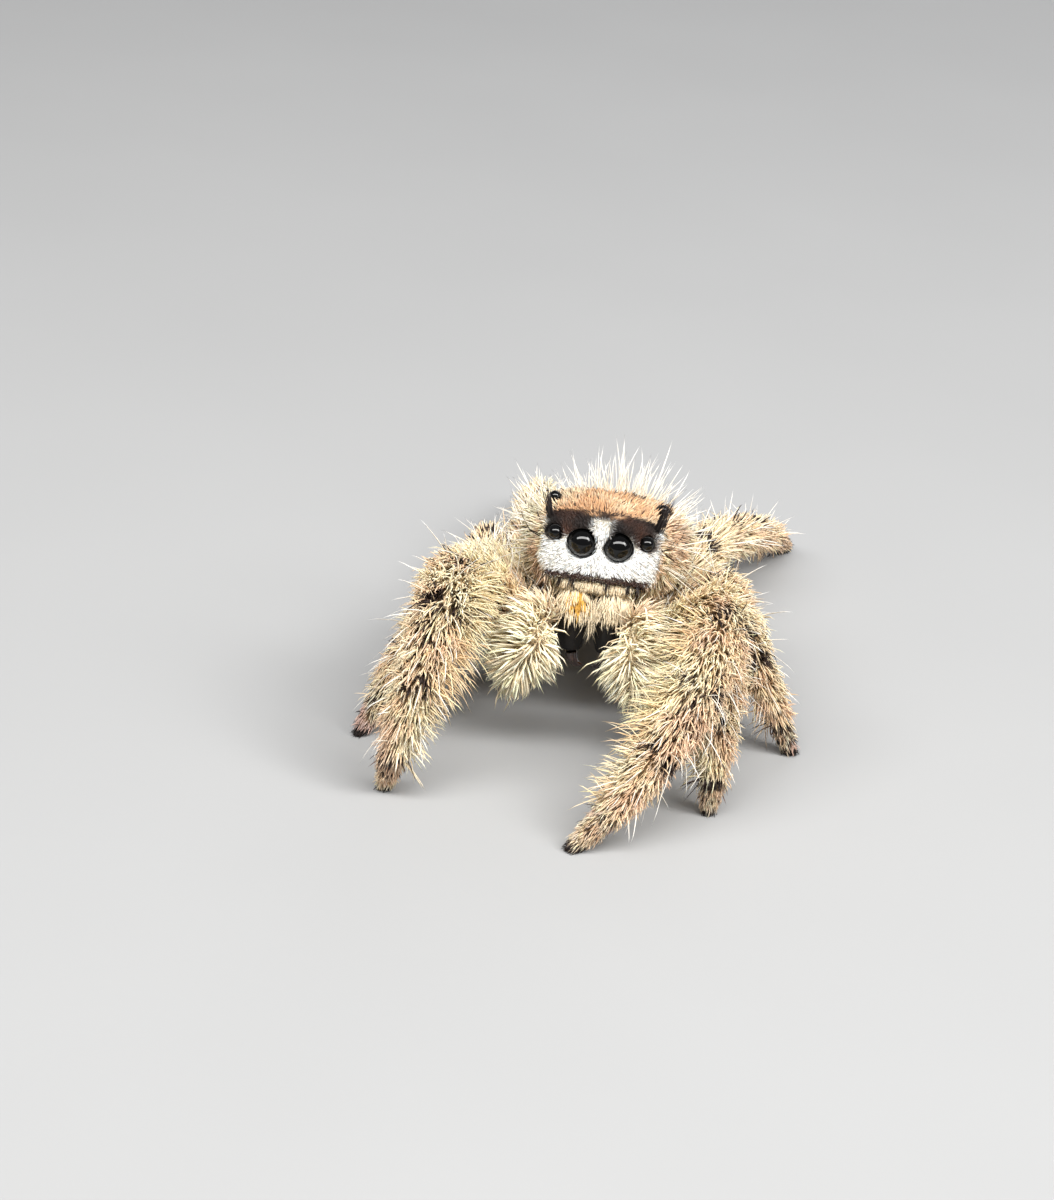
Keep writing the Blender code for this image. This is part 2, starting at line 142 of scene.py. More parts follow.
WHITE = srgb(253, 253, 251)
CREAM = srgb(252, 234, 202)
YELLOW = srgb(250, 226, 174)
PINK_TAN = srgb(236, 202, 172)
ORANGE_TAN = srgb(238, 192, 150)
TAWNY = srgb(246, 222, 184)
RUSSET = srgb(122, 80, 62)
OCHRE = srgb(236, 184, 84)
DARK_BROWN = srgb(42, 30, 26)
BLACK_BROWN = srgb(20, 15, 14)
TARSUS_PINK = srgb(220, 188, 176)
# Three shades of each region, between which slow noise chooses.
LEG_SHADES = (CREAM * 0.96, TAWNY, PINK_TAN)
SHADES = {
    "face": (WHITE, WHITE, WHITE * 0.92),
    "band": (BLACK_BROWN, DARK_BROWN, RUSSET * 0.3),
    "dome": (CREAM * 0.5 + PINK_TAN * 0.5, ORANGE_TAN, ORANGE_TAN * 0.85),
    "carapace": (CREAM, CREAM, PINK_TAN),
    "sternum": (PINK_TAN, PINK_TAN * 0.8, CREAM),
    "abdomen": (CREAM, PINK_TAN, CREAM * 0.85),
    "pedicel": (PINK_TAN * 0.7, PINK_TAN * 0.6, RUSSET),
    "spinnerets": (PINK_TAN * 0.8, PINK_TAN * 0.5, RUSSET),
    "palp_shaft": (CREAM, PINK_TAN, CREAM),
    "palp": (CREAM, CREAM, CREAM * 0.9 + YELLOW * 0.1),
    **dict.fromkeys(LEG_PIECES, LEG_SHADES),
    "tarsus": (TARSUS_PINK, CREAM, PINK_TAN),
}
MARK_BLUR = 2                      # rounds of smoothing over the markings

# Dark spots of a leg: the joint they are measured from (1 is the far end of the femur), how far
# past it, width, strength, and where round the leg they fade in, from its side (0) to its back (1).
ALL_ROUND, BACK, RIDGE = (-3.0, -2.0), (-0.35, 0.55), (0.70, 0.96)
LEG_SPOTS = (
    (1, 0.05, 0.17, 1.0, BACK),
    (2, -0.10, 0.20, 0.9, BACK),
    (2, 0.70, 0.11, 0.9, RIDGE),
    (2, 1.30, 0.09, 0.9, RIDGE),
    (3, -0.75, 0.12, 0.8, RIDGE),
    (3, -0.05, 0.16, 0.9, BACK),
    (4, 0.00, 0.12, 0.7, ALL_ROUND),
)
# Paired spots of the abdomen: share along it and millimetres out.
PALE_SPOTS = ((0.36, 1.05), (0.60, 1.15), (0.76, 0.85))
DARK_SPOTS = ((0.44, 1.0), (0.68, 1.1), (0.84, 0.7))

# Long white hairs by region: hairs to a square millimetre, length and lift.
NO_SETAE = (0.0, 0.5, 50)
SETAE = {
    "abdomen": (10.0, 2.0, 66), "carapace": (5.5, 1.45, 60), "femur": (4.0, 1.35, 58),
    "patella": (4.2, 1.45, 60), "tibia": (5.2, 1.50, 60), "metatarsus": (5.0, 1.15, 54),
}
# The legs' fringe: hairs to a square millimetre, width, lift and clump.
FRINGE_DENSITY, FRINGE_WIDTH, FRINGE_LIFT, FRINGE_CLUMP = 66.0, 0.064, 74.0, 0.35
# Tufts: hairs, length, width, and the scatter of their directions and roots.
Tuft = namedtuple("Tuft", "count length width spread base")
CHEEK_BRISTLES = Tuft(2, 1.50, 0.048, 0.04, 0.03)
LIP_EDGE = Tuft(3, 0.24, 0.046, 0.25, 0.02)
LIP_SPIKE = Tuft(10, 0.60, 0.052, 0.08, 0.03)
LEG_SPINE = Tuft(1, 0.85, 0.055, 0.06, 0.01)
FOOT_BRUSH = Tuft(90, 0.30, 0.030, 0.38, 0.06)
CLAW = Tuft(1, 0.26, 0.060, 0.02, 0.005)
# Horn tufts over the side eyes, with their outward lean.
HORNS = {
    "R": (math.radians(12), Tuft(20, 1.20, 0.040, 0.045, 0.06)),
    "L": (math.radians(19), Tuft(36, 1.40, 0.040, 0.045, 0.06)),
}
# The dark lower edge of the face: its half width, its tufts, and the places of longer spikes.
LIP_HALF, LIP_TUFTS = 1.72, 230
LIP_SPIKES = (-1.18, -0.75, 0.35, 1.05, 1.42)
JAW_HAIRS = 3600
# Leg spines, in millimetres from the far joints of the tibia and the metatarsus.
SPINES = {3: (-1.6, -0.9, -0.25), 4: (-1.1, -0.35)}


# ---- small vector tools

def unit(rows):
    return rows / np.maximum(np.linalg.norm(rows, axis=-1, keepdims=True), 1e-9)


def dot(a, b):
    return np.sum(a * b, axis=-1)


def smoothstep(low, high, values):
    share = np.clip((values - low) / (high - low), 0.0, 1.0)
    return share * share * (3.0 - 2.0 * share)


def bump_at(values, centre, width):
    return np.exp(-(((values - centre) / width) ** 2))


def angle_round(out, axis, zero):
    """Angle of each unit vector round its axis, from the side where zero points."""
    zero = unit(zero - axis * (axis @ zero)[:, None])
    return np.arctan2(dot(out, np.cross(axis, zero)), dot(out, zero))


def mottle(points, size, seed):
    """Smooth noise, mostly between -1 and 1, that turns over about size millimetres."""
    draw = np.random.default_rng(seed)
    waves = draw.normal(size=(14, 3)) * (2.2 / size)
    shifts = draw.uniform(0.0, 2.0 * math.pi, 14)
    return np.sin(points @ waves.T + shifts).sum(axis=1) / 2.6


def box_centre(*nodes):
    """Middle of the boxes of these solids, in millimetres."""
    corners = [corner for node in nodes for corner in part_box(node)]
    return np.mean([tuple(corner) for corner in corners], axis=0) / MM


# ---- reading the solids

def mesh_arrays(mesh):
    """Vertices and triangles of a mesh, in the mesh's own units."""
    points = np.empty(3 * len(mesh.vertices), dtype=np.float32)
    mesh.vertices.foreach_get("co", points)
    mesh.calc_loop_triangles()
    corners = np.empty(3 * len(mesh.loop_triangles), dtype=np.int32)
    mesh.loop_triangles.foreach_get("vertices", corners)
    return points.reshape(-1, 3).astype(float), corners.reshape(-1, 3)


def node_mesh(name):
    """Welded vertices in millimetres and triangles of a solid."""
    points, triangles = mesh_arrays(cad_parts[name].data)
    welded, place = np.unique(np.round(points / MM, 4), axis=0, return_inverse=True)
    return welded, place.reshape(-1)[triangles]


def vertex_normals(points, triangles):
    a, b, c = (points[triangles[:, k]] for k in range(3))
    faces = np.cross(b - a, c - a)
    total = np.zeros_like(points)
    for axis in range(3):
        for k in range(3):
            total[:, axis] += np.bincount(triangles[:, k], faces[:, axis], minlength=len(points))
    return unit(total)


def join_parts(parts):
    """One mesh of several, each given as (points, triangles)."""
    counts = np.cumsum([0] + [len(points) for points, _ in parts])
    points = np.concatenate([points for points, _ in parts])
    faces = np.concatenate([triangles + start for (_, triangles), start in zip(parts, counts)])
    return points, faces


def leg_nodes(side, number):
    return [f"leg_{side}{number}_{piece}" for piece in LEG_PIECES]


LEGS = [(side, number) for side in SIDES for number in LEG_NUMBERS]
FLESH = [*TRUNK, "palp_R", "palp_L"] + [node for leg in LEGS for node in leg_nodes(*leg)]
SOLIDS = {name: node_mesh(name) for name in FLESH}


def centre_line(points, start, end, stops):
    """Points along the middle of a limb's solid, found in shells round its start."""
    reach = np.linalg.norm(points - start, axis=1)
    whole = np.linalg.norm(end - start)
    line = [start]
    for stop in range(1, stops + 1):
        weight = bump_at(reach, whole * stop / (stops + 1), 0.12 * whole + 0.1)
        line.append((points * weight[:, None]).sum(axis=0) / weight.sum())
    return line + [end]


def cut_between(first, second, ring=10):
    """Centre of the thin cut between two neighbouring solids."""
    a, b = SOLIDS[first][0], SOLIDS[second][0]
    gaps = np.linalg.norm(a[:, None] - b[None], axis=2)
    near_a = a[np.argsort(gaps.min(axis=1))[:ring]]
    near_b = b[np.argsort(gaps.min(axis=0))[:ring]]
    return (near_a.mean(axis=0) + near_b.mean(axis=0)) / 2.0


class Limb:
    """Centre line of a leg or palp, with the share of its length at which each piece starts."""

    def __init__(self, lines):
        self.points = np.array([p for line in lines for p in line[:-1]] + [lines[-1][-1]])
        spans = np.linalg.norm(np.diff(self.points, axis=0), axis=1)
        self.length = spans.sum()
        self.starts = np.concatenate(([0.0], np.cumsum(spans))) / self.length
        counts = np.cumsum([0] + [len(line) - 1 for line in lines])
        self.joints = self.starts[counts]
        knee, tip = self.points[counts[1] if len(lines) > 1 else 1], self.points[-1]
        chord = unit(tip - knee)
        arch = self.points[counts[-1] // 2 + 1:-1].mean(axis=0) - (knee + tip) / 2.0
        arch = arch - chord * (arch @ chord)
        self.back = unit(arch + np.array((0.0, 0.0, 1e-3)))

    def locate(self, points):
        """Share along the limb, direction along it and unit vector out from it."""
        best = np.full(len(points), np.inf)
        share = np.zeros(len(points))
        along = np.zeros_like(points)
        foot = np.zeros_like(points)
        for k in range(len(self.points) - 1):
            a, b = self.points[k], self.points[k + 1]
            t = np.clip((points - a) @ (b - a) / ((b - a) @ (b - a)), 0.0, 1.0)
            near = a + t[:, None] * (b - a)
            gap = np.linalg.norm(points - near, axis=1)
            closer = gap < best
            best = np.where(closer, gap, best)
            share = np.where(closer, self.starts[k] + t * (self.starts[k + 1] - self.starts[k]), share)
            along[closer] = unit(b - a)
            foot[closer] = near[closer]
        out = points - foot
        return share, along, unit(out - along * dot(out, along)[:, None])


def leg_limb(side, number):
    nodes = leg_nodes(side, number)
    toe = SOLIDS[nodes[-1]][0]
    joints = [cut_between(nodes[0], "sternum")]
    joints += [cut_between(a, b) for a, b in zip(nodes, nodes[1:])]
    joints.append(toe[toe[:, 2] < toe[:, 2].min() + 0.05].mean(axis=0))
    stops = (4, 1, 1, 1, 1)
    return Limb([
        centre_line(SOLIDS[node][0], joints[k], joints[k + 1], stops[k])
        for k, node in enumerate(nodes)
    ])


def palp_limb(side):
    points = SOLIDS[f"palp_{side}"][0]
    root = points[points[:, 1] > points[:, 1].max() - 0.12].mean(axis=0)
    tip = points[points[:, 2] < points[:, 2].min() + 0.08].mean(axis=0)
    return Limb([centre_line(points, root, tip, 5)])


LIMBS = {leg: leg_limb(*leg) for leg in LEGS}
LIMBS.update({(side, 0): palp_limb(side) for side in SIDES})

# The head's own frame, with its origin on the face between the big eyes.
HEAD_BACK = np.array((0.0, math.cos(HEAD_PITCH), -math.sin(HEAD_PITCH)))
HEAD_UP = np.array((0.0, math.sin(HEAD_PITCH), math.cos(HEAD_PITCH)))
EYE_MIDDLE = box_centre("eye_front_middle_R", "eye_front_middle_L")
FACE_ORIGIN = EYE_MIDDLE - HEAD_BACK * BIG_EYE_BACK


def in_head(points):
    """Distance to the spider's left, back and up, in the head's frame."""
    offset = points - FACE_ORIGIN
    return offset[..., 0], offset @ HEAD_BACK, offset @ HEAD_UP


def from_head(side, back, up):
    return FACE_ORIGIN + np.array((side, 0.0, 0.0)) + HEAD_BACK * back + HEAD_UP * up


def lip_height(side):
    """Height of the face's lower edge above the big eyes' centres."""
    return LIP_MIDDLE + LIP_CURVE * side**2


def eye_shape(name):
    """Centre and radius of an eye."""
    low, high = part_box(name)
    return box_centre(name), (high.x - low.x) / MM / 2.0


EYES = {f"{pair}_{side}": eye_shape(f"eye_{pair}_{side}") for pair in EYE_PAIRS for side in SIDES}


def clear_of_eyes(points, gap, start=""):
    """Which points keep this gap to every eye whose name starts so."""
    clear = np.ones(len(points), dtype=bool)
    for name, (centre, radius) in EYES.items():
        if name.startswith(start):
            clear &= np.linalg.norm(points - centre, axis=1) > radius + gap
    return clear


# ---- making meshes

def make_mesh(name, points, triangles, colours=None, patches=None):
    """A smooth object from millimetre points, with a colour and a UV to each point."""
    mesh = bpy.data.meshes.new(name)
    mesh.vertices.add(len(points))
    mesh.vertices.foreach_set("co", (points * MM).astype(np.float32).ravel())
    mesh.loops.add(3 * len(triangles))
    mesh.loops.foreach_set("vertex_index", triangles.astype(np.int32).ravel())
    mesh.polygons.add(len(triangles))
    mesh.polygons.foreach_set("loop_start", np.arange(0, 3 * len(triangles), 3, dtype=np.int32))
    mesh.polygons.foreach_set("use_smooth", np.ones(len(triangles), dtype=bool))
    if patches is not None:
        layer = mesh.uv_layers.new(name="OFBake")
        layer.uv.foreach_set("vector", patches[triangles.ravel()].astype(np.float32).ravel())
    if colours is not None:
        paint = mesh.color_attributes.new("paint", "FLOAT_COLOR", "POINT")
        rgba = np.ones((len(points), 4), dtype=np.float32)
        rgba[:, :3] = colours
        paint.data.foreach_set("color", rgba.ravel())
    mesh.update(calc_edges=True)
    piece = bpy.data.objects.new(name, mesh)
    bpy.context.scene.collection.objects.link(piece)
    return piece


def ring_faces(rings, turns, poles):
    """Triangles of a closed surface on rings of points.

    With poles, the first and the last ring are single points. Without, the last joins the first.
    """
    corner = np.arange(rings * turns).reshape(rings, turns)
    if poles:
        corner = np.clip(corner - turns + 1, 0, (rings - 2) * turns + 1)
    beyond = np.roll(corner, -1, axis=0)
    quads = (corner, beyond, np.roll(beyond, -1, axis=1), np.roll(corner, -1, axis=1))
    quads = np.stack(quads, axis=2).reshape(-1, 4)
    faces = np.concatenate((quads[:, (3, 0, 1)], quads[:, (3, 1, 2)]))
    return faces[(faces != np.roll(faces, 1, axis=1)).all(axis=1)]


def turned_rings(centre, facing, profile, turns):
    """A ring of points round an axis for each (out, forward) place of a profile."""
    side = unit(np.cross(facing, HEAD_UP))
    up = np.cross(side, facing)
    angles = 2.0 * math.pi * np.arange(turns)[:, None] / turns
    around = side * np.cos(angles) + up * np.sin(angles)
    return np.stack([centre + around * out + facing * forward for out, forward in profile])


def outward(points, triangles):
    """The same closed mesh with its faces pointing out."""
    a, b, c = (points[triangles[:, k]] for k in range(3))
    volume = dot(a, np.cross(b, c)).sum()
    return triangles if volume > 0 else triangles[:, ::-1]


def remeshed(parts, voxel):
    """One closed surface over joined parts, given as (points, triangles) in millimetres."""
    points, faces = join_parts(parts)
    mesh = bpy.data.meshes.new("rough")
    mesh.from_pydata(points.tolist(), [], faces.tolist())
    rough = bpy.data.objects.new("rough", mesh)
    bpy.context.scene.collection.objects.link(rough)
    modifier = rough.modifiers.new("one_surface", "REMESH")
    modifier.mode = "VOXEL"
    modifier.voxel_size = voxel
    evaluated = rough.evaluated_get(bpy.context.evaluated_depsgraph_get())
    result = mesh_arrays(evaluated.to_mesh())
    evaluated.to_mesh_clear()
    bpy.data.objects.remove(rough)
    bpy.data.meshes.remove(mesh)
    return result


class Net:
    """Which vertices of a mesh are neighbours, for smoothing values over it."""

    def __init__(self, triangles, count):
        pairs = np.concatenate((triangles[:, (0, 1)], triangles[:, (1, 2)], triangles[:, (2, 0)]))
        self.first = pairs.ravel()
        self.second = pairs[:, ::-1].ravel()
        self.count = count
        self.degree = np.bincount(self.first, minlength=count)

    def average(self, values):
        if values.ndim == 1:
            return np.bincount(self.first, values[self.second], minlength=self.count) / self.degree
        return np.stack([self.average(column) for column in values.T], axis=1)

    def relax(self, values, rounds, step=0.5):
        for _ in range(rounds):
            values = values + step * (self.average(values) - values)
        return values

    def iron(self, points, rounds):
        """Smooths a shape while holding its volume."""
        for _ in range(rounds):
            points = self.relax(points, 1, 0.55)
            points = self.relax(points, 1, -0.57)
        return points


# ---- the skin

class Skin:
    """The one skin over all the flesh: its shape, regions, markings and the lie of its coat."""

    def __init__(self):
        grown = []
        for points, triangles in SOLIDS.values():
            grown.append((points + vertex_normals(points, triangles) * CUT_FILL, triangles))
        self.points, self.triangles = remeshed(grown, VOXEL)
        self.net = Net(self.triangles, len(self.points))
        self.points = self.net.relax(self.net.iron(self.points, 14), 2)
        self.find_nodes()
        self.normals = vertex_normals(self.points, self.triangles)
        self.find_regions()
        depth = self.smooth_field([COATS[name].depth for name in REGIONS], 8)
        self.points = self.points - self.normals * (depth + CUT_FILL * FILL_REMOVED)[:, None]
        self.points = self.net.iron(self.points, 3)
        self.normals = vertex_normals(self.points, self.triangles)
        self.lie = unit(self.net.relax(self.lie, 8))
        self.lie = unit(self.lie - self.normals * dot(self.lie, self.normals)[:, None])
        self.mark()

    def find_nodes(self):
        """The solid that each vertex of the skin comes from."""
        points, faces = join_parts(SOLIDS.values())
        owner = np.repeat(np.arange(len(SOLIDS)), [len(t) for _, t in SOLIDS.values()])
        tree = BVHTree.FromPolygons(points.tolist(), faces.tolist())
        self.node = owner[[tree.find_nearest(point)[2] for point in self.points.tolist()]]

    def on(self, *names):
        return np.isin(self.node, [FLESH.index(name) for name in names])

    def set_region(self, chosen, name):
        self.region[chosen] = REGIONS.index(name)

    def smooth_field(self, values, rounds):
        """A value for each region, blended where regions meet."""
        return self.net.relax(np.array(values, dtype=float)[self.region], rounds)

    def mottle(self, size, seed):
        return mottle(self.points, size, seed)

    def find_regions(self):
        """Region, share along its part, lie of the coat and unwrap of each vertex."""
        count = len(self.points)
        self.region, self.chart = np.zeros((2, count), dtype=int)
        self.share, self.turn, self.inner, self.top = np.zeros((4, count))
        self.lie = np.zeros((count, 3))
        self.find_trunk()
        for chart, (key, limb) in enumerate(LIMBS.items(), start=len(TRUNK)):
            self.find_limb(chart, key, limb)

    def find_trunk(self):
        side, back, up = in_head(self.points)
        forward = -(self.normals @ HEAD_BACK)
        skyward = self.normals @ HEAD_UP
        speckle = 0.08 * self.mottle(0.35, 3)
        shell = self.on("carapace")
        for chart, name in enumerate(TRUNK):
            self.chart[self.on(name)] = chart
            self.set_region(self.on(name), name)
        front = shell & (back < FACE_BACK) & (up > FACE_LOW)
        wide = np.abs(side)
        socket = ~clear_of_eyes(self.points, SOCKET, "front")
        face = front & ((forward > 0.1) & (wide < FACE_HALF + speckle) | socket)
        self.set_region(face, "face")
        brow = np.where(wide < STRIPE_HALF, 0.60, np.where(wide < 0.95, 0.25, 0.10)) + speckle * 0.4
        band = front & (up > brow) & (wide < BAND_HALF + speckle) & (back < BAND_BACK)
        self.set_region(band, "band")
        crown = shell & (skyward > 0.25) & (back >= BAND_BACK) & (back < CROWN_BACK + 3 * speckle)
        crown &= wide < CROWN_HALF - 0.08 * np.abs(back - CROWN_MIDDLE) + 2 * speckle
        self.set_region(crown, "dome")
        self.head = side, back, up
        self.share[shell] = np.clip(back[shell] / 6.4, 0.0, 1.0)
        self.turn = np.arctan2(side, up + 1.0) / (2.0 * math.pi) + 0.5
        self.top = np.clip(self.normals[:, 2], -1.0, 1.0)
        # The coat lies back over the carapace, down and out over the face, and up over the band.
        lateral = np.sign(side)[:, None] * np.array((1.0, 0.0, 0.0))
        self.lie[shell] = HEAD_BACK - 0.45 * HEAD_UP
        face_lie = lateral * (0.35 + 0.4 * np.minimum(wide, 2.0))[:, None] - HEAD_UP * 0.8
        self.lie[face] = face_lie[face]
        self.lie[band] = (lateral * 0.5 * np.minimum(wide, 1.0)[:, None] + HEAD_UP)[band]
        self.lie[front & (wide < 0.30) & (back < 0.34)] = -HEAD_UP
        self.lie[crown] = (HEAD_BACK + lateral * 0.25)[crown]
        self.lie[shell & (up < -1.12) & (back < 1.3)] = -0.7 * HEAD_BACK - 0.7 * HEAD_UP
        self.lie[self.on("sternum", "pedicel")] = (0.0, 1.0, 0.0)
        self.find_abdomen()

    def find_abdomen(self):
        front, rear = box_centre("pedicel"), box_centre("spinnerets")
        low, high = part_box("abdomen")
        axis = unit(rear - front)
        part = self.on("abdomen", "spinnerets")
        begin = (np.array(low) / MM - front) @ axis
        span = (high.y - low.y) / MM / axis[1]
        middle = front + axis * max(begin, 0.0)
        offset = self.points - middle
        share = offset @ axis / span
        self.share[part] = np.clip(share, 0.0, 1.0)[part]
        sky = unit(np.array((0.0, 0.0, 1.0)) - axis * axis[2])
        self.belly_side = offset[:, 0]
        self.belly_up = offset @ sky
        self.turn[part] = (np.arctan2(self.belly_side, self.belly_up) / (2.0 * math.pi) + 0.5)[part]
        self.lie[part] = axis

    def find_limb(self, chart, key, limb):
        side, number = key
        nodes = leg_nodes(side, number) if number else [f"palp_{side}"]
        part = self.on(*nodes)
        share, along, out = limb.locate(self.points[part])
        angle = angle_round(out, along, np.array((-SIDES[side], 0.0, 0.0)) - limb.back * 0.55)
        self.share[part] = share
        self.inner[part] = np.cos(angle)
        self.top[part] = out @ limb.back
        self.turn[part] = angle / (2 * math.pi) + 0.5
        self.chart[part] = chart
        if number:
            for node, piece in zip(nodes, LEG_PIECES):
                self.set_region(self.on(node), piece)
            self.lie[part] = along
        else:
            self.find_palp(part, side, share, along, out)

    def find_palp(self, part, side, share, along, out):
        """The palp's bristles fan out from a parting down its front."""
        angle = angle_round(out, along, np.array((-0.25 * SIDES[side], -1.0, 0.15)))
        spread = np.sign(angle) * np.minimum(np.abs(angle) / 0.35, 1.0) * 1.15
        fade = smoothstep(2.9, 1.6, np.abs(angle)) * smoothstep(1.0, 0.7, share)
        self.lie[part] = along * 0.55 + np.cross(along, out) * (spread * fade)[:, None]
        self.inner[part] = np.cos(angle)
        shaft, brush = REGIONS.index("palp_shaft"), REGIONS.index("palp")
        self.region[part] = np.where(share < 0.34, shaft, brush)

    def mark(self):
        """Markings: the pale colour of each vertex and how far the dark one covers it."""
        slow = np.clip(0.5 + 0.40 * self.mottle(0.9, 11) + 0.25 * self.mottle(0.28, 12), 0.0, 1.0)
        table = np.array([SHADES[name] for name in REGIONS])
        first, middle, last = (table[self.region, k] for k in range(3))
        low = np.clip(2.0 * slow, 0.0, 1.0)[:, None]
        high = np.clip(2.0 * slow - 1.0, 0.0, 1.0)[:, None]
        self.pale = first + (middle - first) * low + (last - middle) * high
        self.dark = np.zeros(len(self.points))
        self.mark_head()
        self.mark_abdomen()
        self.mark_legs()
        self.pale = self.net.relax(self.pale, MARK_BLUR)
        self.dark = np.clip(self.net.relax(self.dark, MARK_BLUR), 0.0, 1.0)

    def region_is(self, *names):
        return np.isin(self.region, [REGIONS.index(name) for name in names])

    def tint(self, where, colour, amount=1.0):
        """Moves the pale colour towards this one, by a share at each vertex."""
        self.pale = self.pale + (colour - self.pale) * (amount * where)[:, None]

    def mark_head(self):
        side, back, up = self.head
        wide = np.abs(side)
        shell = self.on("carapace")
        band = self.region_is("band")
        # White between the eye tops, with two orange tufts above it and a dark ridge behind.
        self.tint(band & (wide < STRIPE_HALF) & (back < STRIPE_BACK), WHITE)
        tufted = bump_at(side, -0.32, 0.14) + bump_at(side, 0.42, 0.12)
        self.tint(band & (back > 0.46) & (back < 0.74), ORANGE_TAN, np.clip(1.2 * tufted, 0.0, 1.0))
        self.dark += band * bump_at(back, 0.84, 0.06) * 1.4
        # The cheeks turn from white to cream.
        cheeks = smoothstep(1.88, 2.10, wide + 0.06 * self.mottle(0.3, 21))
        self.tint(self.region_is("face") * cheeks, CREAM)
        # The dark lower edge of the face, with cream under it.
        edge = bump_at(up - lip_height(side) + 0.05 * self.mottle(0.25, 22), -0.01, 0.105)
        self.dark += edge * smoothstep(1.85, 1.6, wide) * shell * (back < 0.5) * 1.5
        self.tint(shell & (up < lip_height(side) - 0.08) & (back < 1.3), CREAM)
        # Two dark streaks across the crown, dark skin round the eyes, and a few flecks.
        for middle, half, width, strength in ((0.65, 0.4, 0.22, 0.9), (-0.75, 0.3, 0.20, 0.45)):
            streak = smoothstep(0.25, 0.05, np.abs(side - middle) - half) * strength
            self.dark += self.region_is("dome") * bump_at(back, 2.9, width) * streak
        for name, (centre, radius) in EYES.items():
            gap = np.linalg.norm(self.points - centre, axis=1) - radius
            reach = -0.06 if name.startswith("front") else 0.12
            self.dark += shell * smoothstep(reach + 0.06, reach, gap)
        self.dark += 0.05 * self.region_is("carapace", "dome") * (self.mottle(0.25, 31) > 0.5)

    def belly_spots(self, places, long, broad):
        """Spots on both sides of the abdomen, with their size along it and across."""
        wide = np.abs(self.belly_side)
        return sum(
            np.exp(-(((self.share - at) / long) ** 2) - ((wide - out) / broad) ** 2)
            for at, out in places
        )

    def mark_abdomen(self):
        """A pale band in front, a pale triangle in the middle, and pale and dark spots."""
        part = self.on("abdomen")
        upper = smoothstep(-0.2, 0.5, self.belly_up)
        along = self.share + 0.03 * self.mottle(0.5, 41)
        wide = np.abs(self.belly_side)
        triangle = smoothstep(0.02, -0.02, np.abs(self.share - 0.52) - 0.09)
        triangle = triangle * smoothstep(0.10, 0.0, wide - 5.5 * (self.share - 0.40))
        white = bump_at(along, 0.10, 0.07) + triangle + self.belly_spots(PALE_SPOTS, 0.045, 0.30)
        self.tint(np.clip(white, 0.0, 1.0) * upper * part, WHITE)
        rims = bump_at(along, 0.22, 0.03) * 0.5 + self.belly_spots(DARK_SPOTS, 0.035, 0.45)
        self.dark += rims * upper * part * 0.8
        self.dark += 0.06 * part * (self.mottle(0.3, 43) > 0.4)

    def mark_legs(self):
        speckle = self.mottle(0.42, 51)
        tarsus = self.region_is("tarsus")
        for side, number in LEGS:
            limb = LIMBS[side, number]
            part = self.on(*leg_nodes(side, number))
            past = (self.share - limb.joints[:, None]) * limb.length
            spots = sum(
                strength * bump_at(past[joint], at, width) * smoothstep(*facing, self.top)
                for joint, at, width, strength, facing in LEG_SPOTS
            )
            # A thin dark line down the side of the patella.
            stripe = bump_at(self.turn, 0.42, 0.018) * smoothstep(0.1, 0.2, past[1])
            stripe = stripe * smoothstep(0.1, -0.2, past[2])
            spots = spots * (0.15 + 1.3 * smoothstep(0.0, 0.7, speckle)) + 0.4 * stripe
            rings = tarsus * bump_at(past[4], 0.55, 0.12) * 0.6
            toe = smoothstep(0.42, 0.18, self.points[:, 2]) * tarsus
            self.dark += part * (spots + rings + 1.2 * toe) * (0.7 if number == 4 else 1.0)
            # The inner side is yellower and the outer side pinker.
            yellow = self.region_is("patella", "tibia", "femur") * 0.36
            self.tint(part, YELLOW, yellow * smoothstep(0.1, 0.9, self.inner))
            pink = self.region_is("patella", "tibia", "metatarsus") * 0.20
            self.tint(part, PINK_TAN, pink * smoothstep(0.2, 0.9, -self.inner))


skin = Skin()
SKIN_TREE = BVHTree.FromPolygons(skin.points.tolist(), skin.triangles.tolist())


# ---- materials

MIX_SHARE, MIX_FIRST, MIX_SECOND, MIX_RESULT = 0, 6, 7, 2      # sockets of a colour mix
HAIR_FLECKS = (9000.0, 0.80, 1.16)     # scale, and light of the darkest and the palest
SKIN_FLECKS = (6000.0, 0.55, 1.25)
# Hard shells: dark and light colours, roughness, clear coat, scale of the grain, specular level.
SHELLS = {
    "eye_glass": ((0.001, 0.001, 0.001), (0.002, 0.002, 0.002), 0.03, 0.0, 900.0, 0.40),
    "eye_rim": ((0.001, 0.001, 0.001), (0.003, 0.002, 0.002), 0.45, 0.0, 9000.0, 0.50),
    "jaw_shell": ((0.002, 0.002, 0.002), (0.010, 0.007, 0.005), 0.42, 0.0, 2500.0, 0.30),
    "fang_shell": ((0.010, 0.004, 0.003), (0.060, 0.020, 0.010), 0.18, 0.6, 3000.0, 0.50),
    "claw_shell": ((0.008, 0.005, 0.004), (0.030, 0.016, 0.010), 0.25, 0.4, 4000.0, 0.50),
}
FLOOR_DARK, FLOOR_LIGHT = (0.31, 0.312, 0.315), (0.335, 0.337, 0.34)


def add_node(tree, kind, values=(), links=(), **settings):
    """A shader node with its settings, the values of its inputs, and the outputs they link to."""
    node = tree.nodes.new(kind)
    for name, value in settings.items():
        setattr(node, name, value)
    for name, value in dict(values).items():
        node.inputs[name].default_value = value
    for name, output in dict(links).items():
        tree.links.new(output, node.inputs[name])
    return node


def new_material(name, roughness, specular=0.5):
    material = bpy.data.materials.new(name)
    material.use_nodes = True
    shader = material.node_tree.nodes["Principled BSDF"]
    shader.inputs["Roughness"].default_value = roughness
    shader.inputs["Specular IOR Level"].default_value = specular
    return material, material.node_tree, shader


